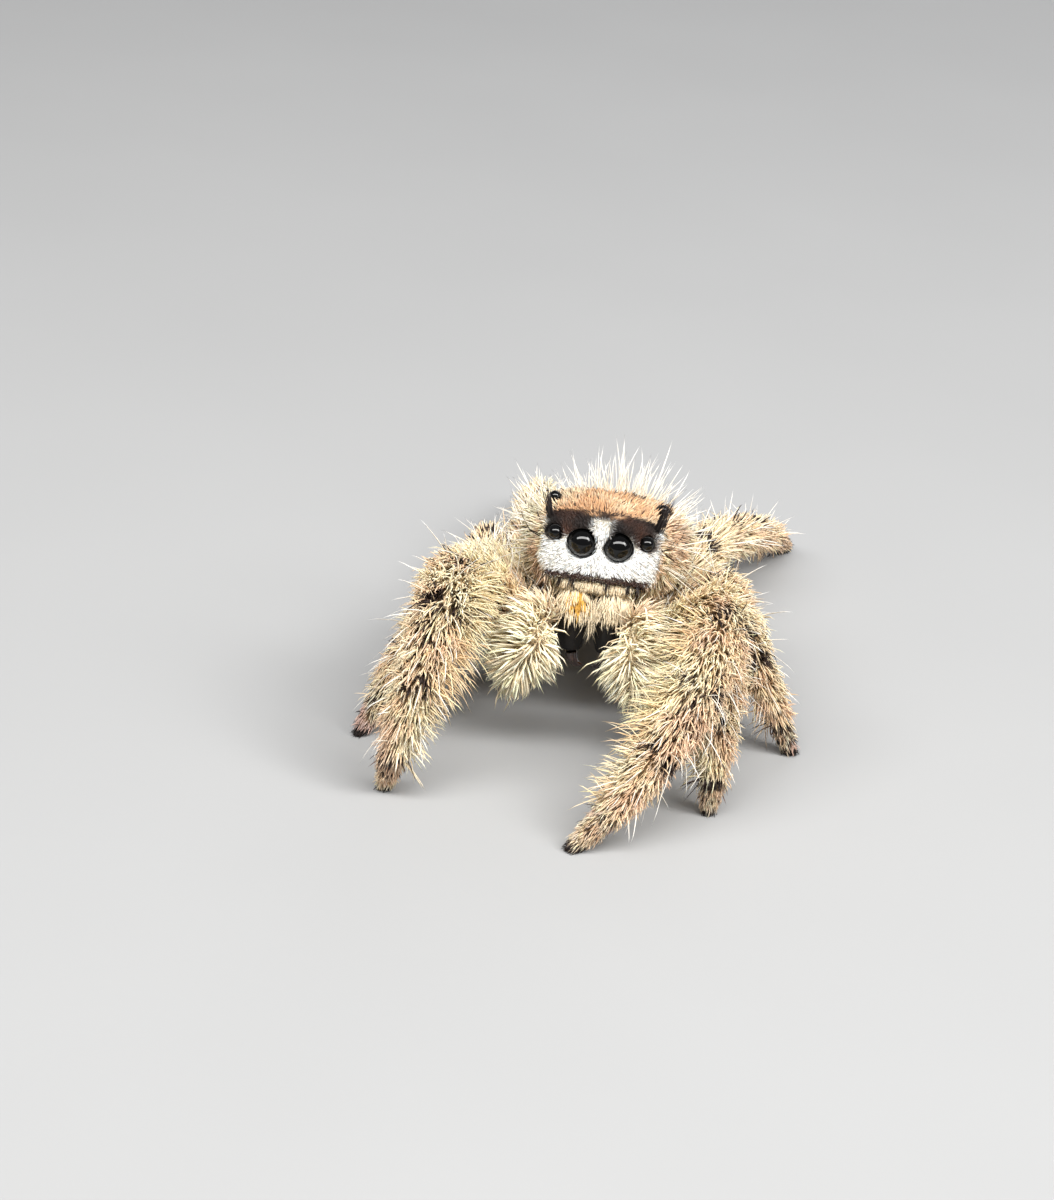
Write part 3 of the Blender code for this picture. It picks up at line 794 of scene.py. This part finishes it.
def grain(tree, scale, detail=2.0):
    """Noise over the object's own coordinates."""
    place = {"Vector": tree.nodes.new("ShaderNodeTexCoord").outputs["Object"]}
    noise = add_node(tree, "ShaderNodeTexNoise", {"Scale": scale, "Detail": detail}, place)
    return noise.outputs["Fac"]


def colour_painted(tree, shader, scale, low, high):
    """The piece's own painted colour, with fine flecks of light and dark over it."""
    paint = add_node(tree, "ShaderNodeVertexColor", layer_name="paint")
    noise = {"Value": grain(tree, scale, 3.0)}
    flecks = add_node(tree, "ShaderNodeMapRange", {"To Min": low, "To Max": high}, noise)
    mixed = add_node(
        tree, "ShaderNodeMix", {MIX_SHARE: 1.0},
        {MIX_FIRST: paint.outputs["Color"], MIX_SECOND: flecks.outputs["Result"]},
        data_type="RGBA", blend_type="MULTIPLY",
    )
    tree.links.new(mixed.outputs[MIX_RESULT], shader.inputs["Base Color"])


def colour_ramped(tree, shader, value, *stops):
    """A colour that runs through stops, each a place and a colour, as the value grows."""
    ramp = add_node(tree, "ShaderNodeValToRGB", (), {"Fac": value})
    for element, (place, colour) in zip(ramp.color_ramp.elements, stops):
        element.position = place
        element.color = (*colour, 1.0)
    tree.links.new(ramp.outputs["Color"], shader.inputs["Base Color"])


def raise_bumps(tree, shader, height, strength, distance):
    values = {"Strength": strength, "Distance": distance * MM}
    bump = add_node(tree, "ShaderNodeBump", values, {"Height": height})
    tree.links.new(bump.outputs["Normal"], shader.inputs["Normal"])


def hair_material(name, roughness, specular):
    material, tree, shader = new_material(name, roughness, specular)
    colour_painted(tree, shader, *HAIR_FLECKS)
    return material


def skin_material():
    """Thin skin under the coat: short flat fur as bump over the markings."""
    material, tree, shader = new_material("skin", 0.75, 0.25)
    colour_painted(tree, shader, *SKIN_FLECKS)
    raise_bumps(tree, shader, grain(tree, 14000.0, 4.0), 0.8, 0.04)
    return material


def shell_material(name):
    """Smooth hard shell with a faint grain and a little change of colour."""
    dark, light, roughness, coat, scale, specular = SHELLS[name]
    material, tree, shader = new_material(name, roughness, specular)
    noise = grain(tree, scale, 3.0)
    colour_ramped(tree, shader, noise, (0.35, dark), (0.75, light))
    shader.inputs["Coat Weight"].default_value = coat
    shader.inputs["Coat Roughness"].default_value = 0.03
    raise_bumps(tree, shader, noise, 0.12, 0.01)
    return material


def floor_material():
    material, tree, shader = new_material("floor", 0.7)
    colour_ramped(tree, shader, grain(tree, 60.0), (0.0, FLOOR_DARK), (1.0, FLOOR_LIGHT))
    return material


# ---- strands of the coat

RING_TURNS = (math.pi / 2.0, math.pi * 7.0 / 6.0, math.pi * 11.0 / 6.0)
ROOT_DEPTH = 0.03
FLOOR_CLEARANCE = 0.004
# Places along a strand, as shares of its length, and its girth there.
FUR_STATIONS = ((0.28, 1.0), (0.70, 0.72))
FUZZ_STATIONS = ((0.38, 1.0),)
BRISTLE_STATIONS = ((0.08, 1.0), (0.40, 0.85), (0.75, 0.50))
# The unwrap: a cell to each part of the body, inset from its edges, and a small patch to a strand.
CHART_COLUMNS = 4
CELL_EDGE, CELL_SPAN = 0.03, 0.92
PATCH = 0.003
STRAY_LENGTH, STRAY_LIFT = 1.25, 26.0      # how much longer and higher a stray strand is
LOCK_SIZE = 0.24

Strands = namedtuple("Strands", "root heading up length width bow colour tip_colour place")
Roots = namedtuple("Roots", "point normal lie vertex draw")


def strand_points(strands, stations, flatness):
    """An array (strands, corners, 3): a root point, three corners at each station, and a tip."""
    side = unit(np.cross(strands.heading, strands.up))
    length = strands.length[:, None]
    columns = [strands.root - strands.heading * ROOT_DEPTH]
    for share, girth in stations:
        centre = strands.root + (strands.heading * share + strands.bow * share**2) * length
        along = unit(strands.heading + 2.0 * share * strands.bow)
        out = unit(np.cross(side, along)) * flatness
        half = (girth * strands.width / 2.0)[:, None]
        columns += [
            centre + (side * math.cos(turn) + out * math.sin(turn)) * half for turn in RING_TURNS
        ]
    columns.append(strands.root + (strands.heading + strands.bow) * length)
    points = np.stack(columns, axis=1)
    points[..., 2] = np.maximum(points[..., 2], FLOOR_CLEARANCE)
    return points


def grow(name, strands, stations, material, slot, flatness=0.6):
    """Makes one coat piece of closed strands."""
    points = strand_points(strands, stations, flatness)
    count, corners = points.shape[:2]
    faces = ring_faces(len(stations) + 2, len(RING_TURNS), True)
    triangles = (faces[None] + (np.arange(count) * corners)[:, None, None]).reshape(-1, 3)
    share = np.array([0.0] + [s for s, _ in stations for _ in RING_TURNS] + [1.0])
    step = np.array([0.0] + [k / 3.0 for _ in stations for k in range(3)] + [0.5])
    fade = (strands.tip_colour - strands.colour)[:, None] * share[None, :, None]
    colours = strands.colour[:, None] + fade
    patches = strands.place[:, None] + PATCH * np.stack((step, share), axis=1)[None]
    piece = make_mesh(
        name, points.reshape(-1, 3), triangles, colours.reshape(-1, 3), patches.reshape(-1, 2)
    )
    piece.data.materials.append(material)
    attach(piece, "root")


def chart_place(rows):
    """Place of these skin vertices on the unwrap."""
    row, column = np.divmod(skin.chart[rows], CHART_COLUMNS)
    across = (column + CELL_EDGE + CELL_SPAN * skin.turn[rows]) / CHART_COLUMNS
    along = (row + CELL_EDGE + CELL_SPAN * skin.share[rows]) / CHART_COLUMNS
    return np.stack((across, along), axis=1)


def scatter(density, seed):
    """Roots spread over the skin, with density in hairs to a square millimetre at each vertex."""
    draw = np.random.default_rng(seed)
    a, b, c = (skin.points[skin.triangles[:, k]] for k in range(3))
    area = np.linalg.norm(np.cross(b - a, c - a), axis=1) / 2.0
    weight = area * density[skin.triangles].mean(axis=1)
    total = np.cumsum(weight)
    count = int(total[-1])
    ticks = (np.arange(count) + draw.random(count)) * (total[-1] / count)
    chosen = np.minimum(np.searchsorted(total, ticks), len(total) - 1)
    u, v = draw.random(count), draw.random(count)
    flip = u + v > 1.0
    u, v = np.where(flip, 1.0 - u, u), np.where(flip, 1.0 - v, v)
    shares = np.stack((1.0 - u - v, u, v), axis=1)[:, :, None]
    corners = skin.triangles[chosen]
    point = (skin.points[corners] * shares).sum(axis=1)
    normal = unit((skin.normals[corners] * shares).sum(axis=1))
    lie = unit((skin.lie[corners] * shares).sum(axis=1))
    vertex = corners[np.arange(count), np.argmax(shares[:, :, 0], axis=1)]
    keep = clear_of_eyes(point, 0.035)
    return Roots(point[keep], normal[keep], lie[keep], vertex[keep], draw)


def keep_out_of_eyes(strands):
    keep = np.ones(len(strands.root), dtype=bool)
    for share in (0.5, 1.0):
        reach = (strands.heading * share + strands.bow * share**2) * strands.length[:, None]
        keep &= clear_of_eyes(strands.root + reach, 0.01)
    return Strands(*[values[keep] for values in strands])


def comb(roots, length, width, lift, clump, wildness=0.22, droop=0.45, stray=0.0):
    """The first six values of strands: leaning along the lie of the coat, curving back to it, in
    small locks. A share of them strays: longer strands that stand off the rest."""
    draw, count = roots.draw, len(roots.point)
    astray = draw.random(count) < stray
    length = np.where(astray, length * STRAY_LENGTH, length)
    lift = np.where(astray, lift + STRAY_LIFT, lift)
    clump = np.where(astray, 0.0, clump)
    scatter_way = draw.normal(size=(count, 3)) * wildness
    angle = np.radians(lift * (1.0 + 0.25 * draw.normal(size=count)))[:, None]
    heading = unit(roots.lie * np.cos(angle) + roots.normal * np.sin(angle) + scatter_way)
    size = length * np.clip(1.0 + 0.22 * draw.normal(size=count), 0.45, 1.6)
    bow = (roots.lie * 0.5 - roots.normal * np.sin(angle)) * droop
    tips = roots.point + (heading + bow) * size[:, None]
    wander = np.stack([mottle(roots.point, 0.7, 61 + k) for k in range(3)], axis=1) * 0.12
    cell = np.floor((roots.point + wander) / LOCK_SIZE).astype(int)
    _, group = np.unique(cell, axis=0, return_inverse=True)
    group = group.reshape(-1)
    members = np.bincount(group)
    middle = np.stack([np.bincount(group, tips[:, k]) / members for k in range(3)], axis=1)[group]
    bow = bow + (middle - tips) * (clump / size)[:, None]
    girth = width * np.clip(1.0 + 0.2 * draw.normal(size=count), 0.5, 1.7)
    return roots.point, heading, roots.normal, size, girth, bow


def with_painted_shade(colours, shade):
    """Colours darkened by painted shade to a share of their light, browner the darker they are."""
    return colours * np.asarray(shade, dtype=float)[..., None] ** PAINTED_SHADE_TINT


def coloured(roots, shape, shade=1.0):
    """Strands in the skin's own markings, each a little lighter or darker than the next, with painted
    shade darkening the roots and, where a shade is given, the whole strand.
    """
    draw, rows = roots.draw, roots.vertex
    tone = 1.0 + 0.13 * draw.normal(size=len(rows))
    warm = 1.0 + 0.05 * draw.normal(size=len(rows))
    hue = np.stack((warm, np.ones(len(rows)), 2.0 - warm), axis=1)
    # The strand's colour is darkened by the given painted shade.
    pale = with_painted_shade(skin.pale[rows], shade) * np.clip(tone, 0.55, 1.3)[:, None] * hue
    dark = (draw.random(len(rows)) < skin.dark[rows])[:, None]
    brown = DARK_BROWN * np.where(draw.random(len(rows)) < 0.5, 1.0, 1.9)[:, None]
    colour = np.where(dark, brown, pale)
    tip = np.where(dark, colour, pale * 1.08)
    # The roots get painted shade, darker than the tips.
    colours = [np.clip(paint, 0.0, 0.95) for paint in (with_painted_shade(colour, ROOT_PAINTED_SHADE[rows]), tip)]
    return Strands(*shape, *colours, chart_place(rows))


def region_field(values, rounds=5):
    return skin.smooth_field([values[name] for name in REGIONS], rounds)


# Painted shade of the skin, the undercoat and the roots, blended where regions meet.
SKIN_PAINTED_SHADE, UNDERCOAT_PAINTED_SHADE, ROOT_PAINTED_SHADE = map(region_field, (SKIN_PAINTED_SHADES, UNDERCOAT_PAINTED_SHADES, ROOT_PAINTED_SHADES))
COAT_FIELDS = Coat(*[
    region_field({name: coat[k] for name, coat in COATS.items()}) for k in range(len(Coat._fields))
])
# The coat's pieces, with the slot and the regions of each. Each leg is a piece of its own.
COAT_GROUPS = {
    "coat_face": ("carapace_coat", "face"),
    "coat_eye_band": ("carapace_coat", "band"),
    "coat_crown": ("carapace_coat", "dome"),
    "coat_carapace": ("carapace_coat", "carapace", "pedicel", "sternum"),
    "coat_abdomen": ("body_coat", "abdomen", "spinnerets"),
    "coat_palps": ("body_coat", "palp", "palp_shaft"),
}


def coat_groups():
    """Name, slot and skin vertices of each coat piece."""
    for name, (slot, *regions) in COAT_GROUPS.items():
        yield name, slot, skin.region_is(*regions)
    for side, number in LEGS:
        yield f"coat_leg_{side}{number}", "leg_coat", skin.on(*leg_nodes(side, number))


def build_coat(material):
    """The dense coat: a fine undercoat and a top coat of thicker, tapered strands."""
    for seed, (name, slot, mask) in enumerate(coat_groups(), start=100):
        for layer, share, stations in (
            ("top", TOP_COAT, FUR_STATIONS),
            ("under", UNDERCOAT, FUZZ_STATIONS),
        ):
            roots = scatter(COAT_FIELDS.density * share.density * mask, seed * 2 + (layer == "top"))
            rows = roots.vertex
            coat = Coat(*[field[rows] * part for field, part in zip(COAT_FIELDS, share)])
            shape = comb(roots, coat.length, coat.width, coat.lift, coat.clump, stray=coat.stray)
            # The undercoat is darkened by painted shade, for the shade under the top coat.
            shade = 1.0 if layer == "top" else UNDERCOAT_PAINTED_SHADE[rows]
            strands = keep_out_of_eyes(coloured(roots, shape, shade))
            grow(f"{name}_{layer}", strands, stations, material, slot)


# ---- long bristles

def build_setae(material):
    """Long white hairs that stand off the body and the outer sides of the legs."""
    density, length, lift = (
        region_field({name: SETAE.get(name, NO_SETAE)[k] for name in REGIONS}, 2) for k in range(3)
    )
    roots = scatter(density * smoothstep(-0.4, 0.3, skin.top), 301)
    rows = roots.vertex
    shape = comb(roots, length[rows], 0.020 + 0.022 * length[rows], lift[rows], 0.0, 0.16, 0.22)
    tone = (0.80 + 0.15 * roots.draw.random(len(rows)))[:, None]
    strands = Strands(*shape, CREAM * tone, WHITE * tone, chart_place(rows))
    grow("setae_white", keep_out_of_eyes(strands), BRISTLE_STATIONS, material, "body_coat", 0.8)


def build_fringe(material):
    """Comb-like fringe on the inner side of the legs, and a thinner one on the outer side."""
    zone = smoothstep(0.30, 0.80, skin.inner) + 0.35 * smoothstep(0.50, 0.90, -skin.inner)
    zone = FRINGE_DENSITY * zone * skin.region_is("patella", "tibia", "metatarsus")
    roots = scatter(zone, 311)
    rows = roots.vertex
    length = 0.75 + 0.85 * np.maximum(skin.inner[rows], 0.0)
    length = np.where(skin.region_is("metatarsus")[rows], length * 0.75, length)
    shape = comb(roots, length, FRINGE_WIDTH, FRINGE_LIFT, FRINGE_CLUMP, 0.12, 0.20)
    strands = coloured(roots, shape)
    grow("fringe_legs", strands, BRISTLE_STATIONS, material, "leg_coat", 0.7)


def tuft(draw, base, way, shape, curl=(0.0, 0.0, 0.0)):
    """A brush of hairs from one place: the first six values of its strands."""
    count = shape.count
    way = unit(np.array(way, dtype=float))
    root = base + draw.normal(size=(count, 3)) * shape.base
    heading = unit(way + draw.normal(size=(count, 3)) * shape.spread)
    size = shape.length * (0.55 + 0.45 * draw.random(count))
    up = np.tile(unit(np.cross(way, (0.3, 0.2, 0.9))), (count, 1))
    bow = np.array(curl, dtype=float) + draw.normal(size=(count, 3)) * 0.04
    return root, heading, up, size, np.full(count, shape.width), bow


def grow_tufts(name, tufts, colours, material, slot, flatness=0.8, stations=BRISTLE_STATIONS):
    """Makes one piece of tufts, with the colours of their roots and tips."""
    columns = [np.concatenate(column) for column in zip(*tufts)]
    _, nearest = nearest_vertices(columns[0])
    colours = [np.tile(colour, (len(nearest), 1)) for colour in colours]
    strands = Strands(*columns, *colours, chart_place(nearest))
    grow(name, strands, stations, material, slot, flatness)


def nearest_vertices(points):
    """The nearest places on the skin, and a skin vertex at each."""
    found = [SKIN_TREE.find_nearest(point) for point in points.tolist()]
    places = np.array([tuple(hit[0]) for hit in found])
    return places, skin.triangles[np.array([hit[2] for hit in found]), 0]


def on_skin(point):
    return nearest_vertices(np.array([point]))[0][0]


def build_dark_bristles(material):
    """Black horn tufts over the side eyes, curved bristles on the cheeks, and the lip's edge."""
    draw = np.random.default_rng(401)
    tufts = []
    for side, (lean, shape) in HORNS.items():
        base = on_skin(from_head(SIDES[side] * 1.80, 0.42, 0.68))
        way = HEAD_UP * math.cos(lean) + np.array((SIDES[side], 0, 0)) * math.sin(lean)
        tufts.append(tuft(draw, base, way + HEAD_BACK * 0.15, shape))
    for sign in SIDES.values():
        base = on_skin(from_head(sign * 2.00, 0.55, -0.05))
        curl = HEAD_UP * 0.85 - np.array((sign, 0, 0)) * 0.35
        tufts.append(tuft(draw, base, (sign, -0.30, 0.05), CHEEK_BRISTLES, curl))
    # The lip: short dark bristles along the face's lower edge, with a few longer spikes.
    lip = []
    for side in np.linspace(-LIP_HALF, LIP_HALF, LIP_TUFTS):
        base = on_skin(from_head(side, -0.10, lip_height(side) + 0.05 * draw.normal()))
        way = np.array((draw.normal() * 0.9, -0.6, 0.0)) - HEAD_UP * 0.35
        lip.append(tuft(draw, base, way, LIP_EDGE))
    for side in LIP_SPIKES:
        base = on_skin(from_head(side, -0.08, lip_height(side) - 0.03))
        way = -HEAD_UP + np.array((side * 0.1, -0.45, 0.0))
        tufts.append(tuft(draw, base, way, LIP_SPIKE))
    grow_tufts("bristles_dark", tufts, (BLACK_BROWN, DARK_BROWN), material, "carapace_coat")
    grow_tufts("bristles_lip", lip, (BLACK_BROWN, RUSSET * 0.35), material, "carapace_coat")


def build_leg_spines(material):
    """A few strong dark spines on the lower side of each tibia and metatarsus."""
    draw = np.random.default_rng(405)
    tufts = []
    for limb in (LIMBS[leg] for leg in LEGS):
        for joint, places in SPINES.items():
            for place in places:
                centre, along = point_on(limb, limb.joints[joint] + place / limb.length)
                for sign in (-1, 1):
                    across = unit(np.cross(along, limb.back)) * sign
                    base = on_skin(centre + (across * 0.6 - limb.back * 0.6))
                    way = along * 0.9 + across * 0.5 - limb.back * 0.5
                    tufts.append(tuft(draw, base, way, LEG_SPINE))
    grow_tufts("spines_legs", tufts, (BLACK_BROWN, RUSSET), material, "leg_coat", 0.9)


def point_on(limb, share):
    centre = np.array([np.interp(share, limb.starts, limb.points[:, k]) for k in range(3)])
    k = min(int(np.searchsorted(limb.starts, share)), len(limb.points) - 1)
    return centre, unit(limb.points[k] - limb.points[k - 1])


def build_feet(material, claw_material):
    """Black brushes under each foot, and two small hooked claws in front of them."""
    draw = np.random.default_rng(411)
    upward = np.array((0.0, 0.0, 1.0))
    brushes, claws = [], []
    for limb in (LIMBS[leg] for leg in LEGS):
        tip, along = limb.points[-1], unit(limb.points[-1] - limb.points[-2])
        forward = unit(along * np.array((1.0, 1.0, 0.0)))
        across = np.cross(forward, upward)
        base = tip + upward * 0.16 + forward * 0.05
        brushes.append(tuft(draw, base, along + forward * 0.4, FOOT_BRUSH))
        for sign in (-1, 1):
            root = tip + forward * 0.10 + across * sign * 0.06 + upward * 0.22
            way = forward + across * sign * 0.15 + upward * 0.15
            claws.append(tuft(draw, root, way, CLAW, upward * -0.55))
    brush_colours, claw_colours = (BLACK_BROWN, DARK_BROWN), (BLACK_BROWN, BLACK_BROWN)
    grow_tufts("claw_tufts", brushes, brush_colours, material, "foot_coat", stations=FUR_STATIONS)
    grow_tufts("claws", claws, claw_colours, claw_material, "jaw_shell", 1.0)


def build_jaw_fringe(material, jaws):
    """Cream hairs over the upper jaws with an ochre patch, and pale strands down between them."""
    draw = np.random.default_rng(421)
    low, high = jaws[0].min(axis=0), jaws[0].max(axis=0)
    across = draw.uniform(low[0], high[0], JAW_HAIRS)
    drop = draw.uniform(0.0, 1.0, JAW_HAIRS) ** 1.6
    # Each hair starts where a ray from the front meets the jaws, or the skin if that is nearer.
    trees = ((BVHTree.FromPolygons(*(part.tolist() for part in jaws)), 9.0), (SKIN_TREE, 4.2))
    found = []
    for side, down in zip(across.tolist(), drop.tolist()):
        start = from_head(side, -3.0, -1.14 - 1.20 * down).tolist()
        hits = [tree.ray_cast(start, HEAD_BACK.tolist(), reach) for tree, reach in trees]
        hits = [(far, tuple(place), tuple(normal)) for place, normal, _, far in hits if place]
        found.append(min(hits, default=(0.0, (math.nan,) * 3, (math.nan,) * 3))[1:])
    root, normal = np.array(found).transpose(1, 0, 2)
    keep = ~np.isnan(root[:, 0]) & (draw.random(JAW_HAIRS) > drop * 0.85)
    root, normal, drop, across = root[keep], normal[keep], drop[keep], across[keep]
    heading = unit(-HEAD_UP + normal * 0.45 + draw.normal(size=root.shape) * 0.16)
    between = (np.abs(across) < 0.20) & (drop > 0.30)
    length = np.where(between, 1.15, 0.46) + 0.22 * draw.random(len(root))
    bow = -normal * np.where(between, 0.45, 0.25)[:, None]
    ochre = bump_at(across, -0.52, 0.20) * bump_at(drop, 0.56, 0.18)
    pick = (draw.random(len(root)) < ochre * 1.3)[:, None]
    colour = np.where(pick, OCHRE, CREAM * (0.90 + 0.14 * draw.random((len(root), 1))))
    _, rows = nearest_vertices(root)
    width, places = np.full(len(root), 0.045), chart_place(rows)
    # The roots are painted darker than the tips, a painted shade under the fringe.
    strands = Strands(root, heading, normal, length, width, bow, colour * 0.8, colour, places)
    grow("coat_jaws", strands, FUR_STATIONS, material, "carapace_coat")


# ---- eyes, jaws and stage

LENS_SHARE = 0.985     # size of a lens against its solid, which takes in the rim
EYE_TURNS, LENS_RINGS, RIM_STEPS = 48, 33, 10


def eye_lens(centre, radius):
    """A sphere whose poles lie to the front and back."""
    polar = np.linspace(0.0, math.pi, LENS_RINGS)
    profile = np.stack((np.sin(polar), np.cos(polar)), axis=1) * radius * LENS_SHARE
    rings = turned_rings(centre, -HEAD_BACK, profile, EYE_TURNS)
    points = np.concatenate((rings[0, :1], rings[1:-1].reshape(-1, 3), rings[-1, :1]))
    return points, outward(points, ring_faces(LENS_RINGS, EYE_TURNS, True))


def eye_rim(centre, radius, facing):
    """A rounded collar of dark shell that an eye sits in."""
    thick = 0.02 * radius + 0.008
    bend = -2.0 * math.pi * np.arange(RIM_STEPS) / RIM_STEPS
    out = 0.99 * radius + thick * np.cos(bend)
    forward = 0.02 * radius + 1.3 * thick * np.sin(bend)
    points = turned_rings(centre, facing, zip(out, forward), EYE_TURNS).reshape(-1, 3)
    return points, outward(points, ring_faces(RIM_STEPS, EYE_TURNS, False))


def build_eyes():
    glass, rim_look = shell_material("eye_glass"), shell_material("eye_rim")
    rims = []
    for name, (centre, radius) in EYES.items():
        piece = make_mesh(f"lens_{name}", *eye_lens(centre, radius))
        piece.data.materials.append(glass)
        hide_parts(f"eye_{name}")
        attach(piece, "root")
        _, vertex = nearest_vertices(np.array([centre]))
        facing = -HEAD_BACK if name.startswith("front") else unit(skin.normals[vertex[0]])
        rims.append(eye_rim(centre, radius, facing))
    piece = make_mesh("eye_rims", *join_parts(rims))
    piece.data.materials.append(rim_look)
    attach(piece, "root")


def smooth_shell(name, node, voxel, rounds, material):
    """A smooth shell in the place of a solid, which stays inside the solid's outline."""
    points, triangles = remeshed([node_mesh(node)], voxel)
    points = Net(triangles, len(points)).iron(points, rounds)
    piece = make_mesh(name, points, triangles)
    piece.data.materials.append(material)
    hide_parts(node)
    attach(piece, "root")
    return points, triangles


def build_jaws():
    jaw, fang = shell_material("jaw_shell"), shell_material("fang_shell")
    jaws = []
    for side in SIDES:
        jaws.append(smooth_shell(f"jaw_{side}", f"chelicera_{side}", 0.05, 8, jaw))
        smooth_shell(f"fang_tooth_{side}", f"fang_{side}", 0.04, 4, fang)
    return join_parts(jaws)


def build_skin():
    colours = skin.pale * (1.0 - skin.dark)[:, None] + DARK_BROWN * skin.dark[:, None]
    # The skin's colour is darkened by painted shade, for the shade between the hairs over it.
    piece = make_mesh("skin", skin.points, skin.triangles, with_painted_shade(colours, SKIN_PAINTED_SHADE))
    piece.data.materials.append(skin_material())
    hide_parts(*FLESH)
    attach(piece, "root")


def build_floor():
    corners = np.array([(-1.0, -1.0, 0.0), (1.0, -1.0, 0.0), (1.0, 1.0, 0.0), (-1.0, 1.0, 0.0)])
    floor = make_mesh("floor", corners * FLOOR_HALF, np.array([(0, 1, 2), (0, 2, 3)]))
    floor.data.materials.append(floor_material())


def build_lights():
    scene = bpy.context.scene
    aim = Vector(EYE_MIDDLE + LIGHT_AIM)
    for name, (place, size, power, colour) in LIGHTS.items():
        light = bpy.data.lights.new(name, "AREA")
        light.shape = "RECTANGLE"
        light.size, light.size_y = size[0] * MM, size[1] * MM
        light.energy = power
        light.color = colour
        lamp = bpy.data.objects.new(name, light)
        lamp.location = Vector(place) * MM
        lamp.rotation_euler = (aim - Vector(place)).to_track_quat("-Z", "Y").to_euler()
        scene.collection.objects.link(lamp)
    scene.world = bpy.data.worlds.new("studio")
    scene.world.use_nodes = True
    sky = scene.world.node_tree.nodes["Background"]
    sky.inputs["Color"].default_value = SKY_COLOUR
    sky.inputs["Strength"].default_value = SKY_STRENGTH


def build_camera():
    turn = (
        Matrix.Rotation(CAMERA_AZIMUTH, 4, "Z")
        @ Matrix.Rotation(math.pi / 2.0 - CAMERA_ELEVATION, 4, "X")
        @ Matrix.Rotation(CAMERA_ROLL, 4, "Z")
    )
    camera = bpy.data.objects.new("camera", bpy.data.cameras.new("camera"))
    camera.data.sensor_fit = "HORIZONTAL"
    camera.data.sensor_width = CAMERA_SENSOR
    camera.data.lens = CAMERA_LENS
    camera.data.clip_start = 0.002
    camera.data.clip_end = 5.0
    aim = Matrix.Translation(Vector(EYE_MIDDLE + CAMERA_AIM) * MM)
    camera.matrix_world = aim @ turn @ Matrix.Translation((0.0, 0.0, CAMERA_DISTANCE * MM))
    bpy.context.scene.collection.objects.link(camera)
    bpy.context.scene.camera = camera


def main():
    bpy.context.scene.view_settings.view_transform = "Standard"
    fur = hair_material("fur", 0.55, 0.35)
    dark_hair = hair_material("dark_hair", 0.38, 0.5)
    build_skin()
    build_coat(fur)
    build_setae(fur)
    build_fringe(fur)
    build_dark_bristles(dark_hair)
    build_leg_spines(dark_hair)
    build_feet(dark_hair, shell_material("claw_shell"))
    build_eyes()
    build_jaw_fringe(fur, build_jaws())
    build_floor()
    build_lights()
    build_camera()


main()
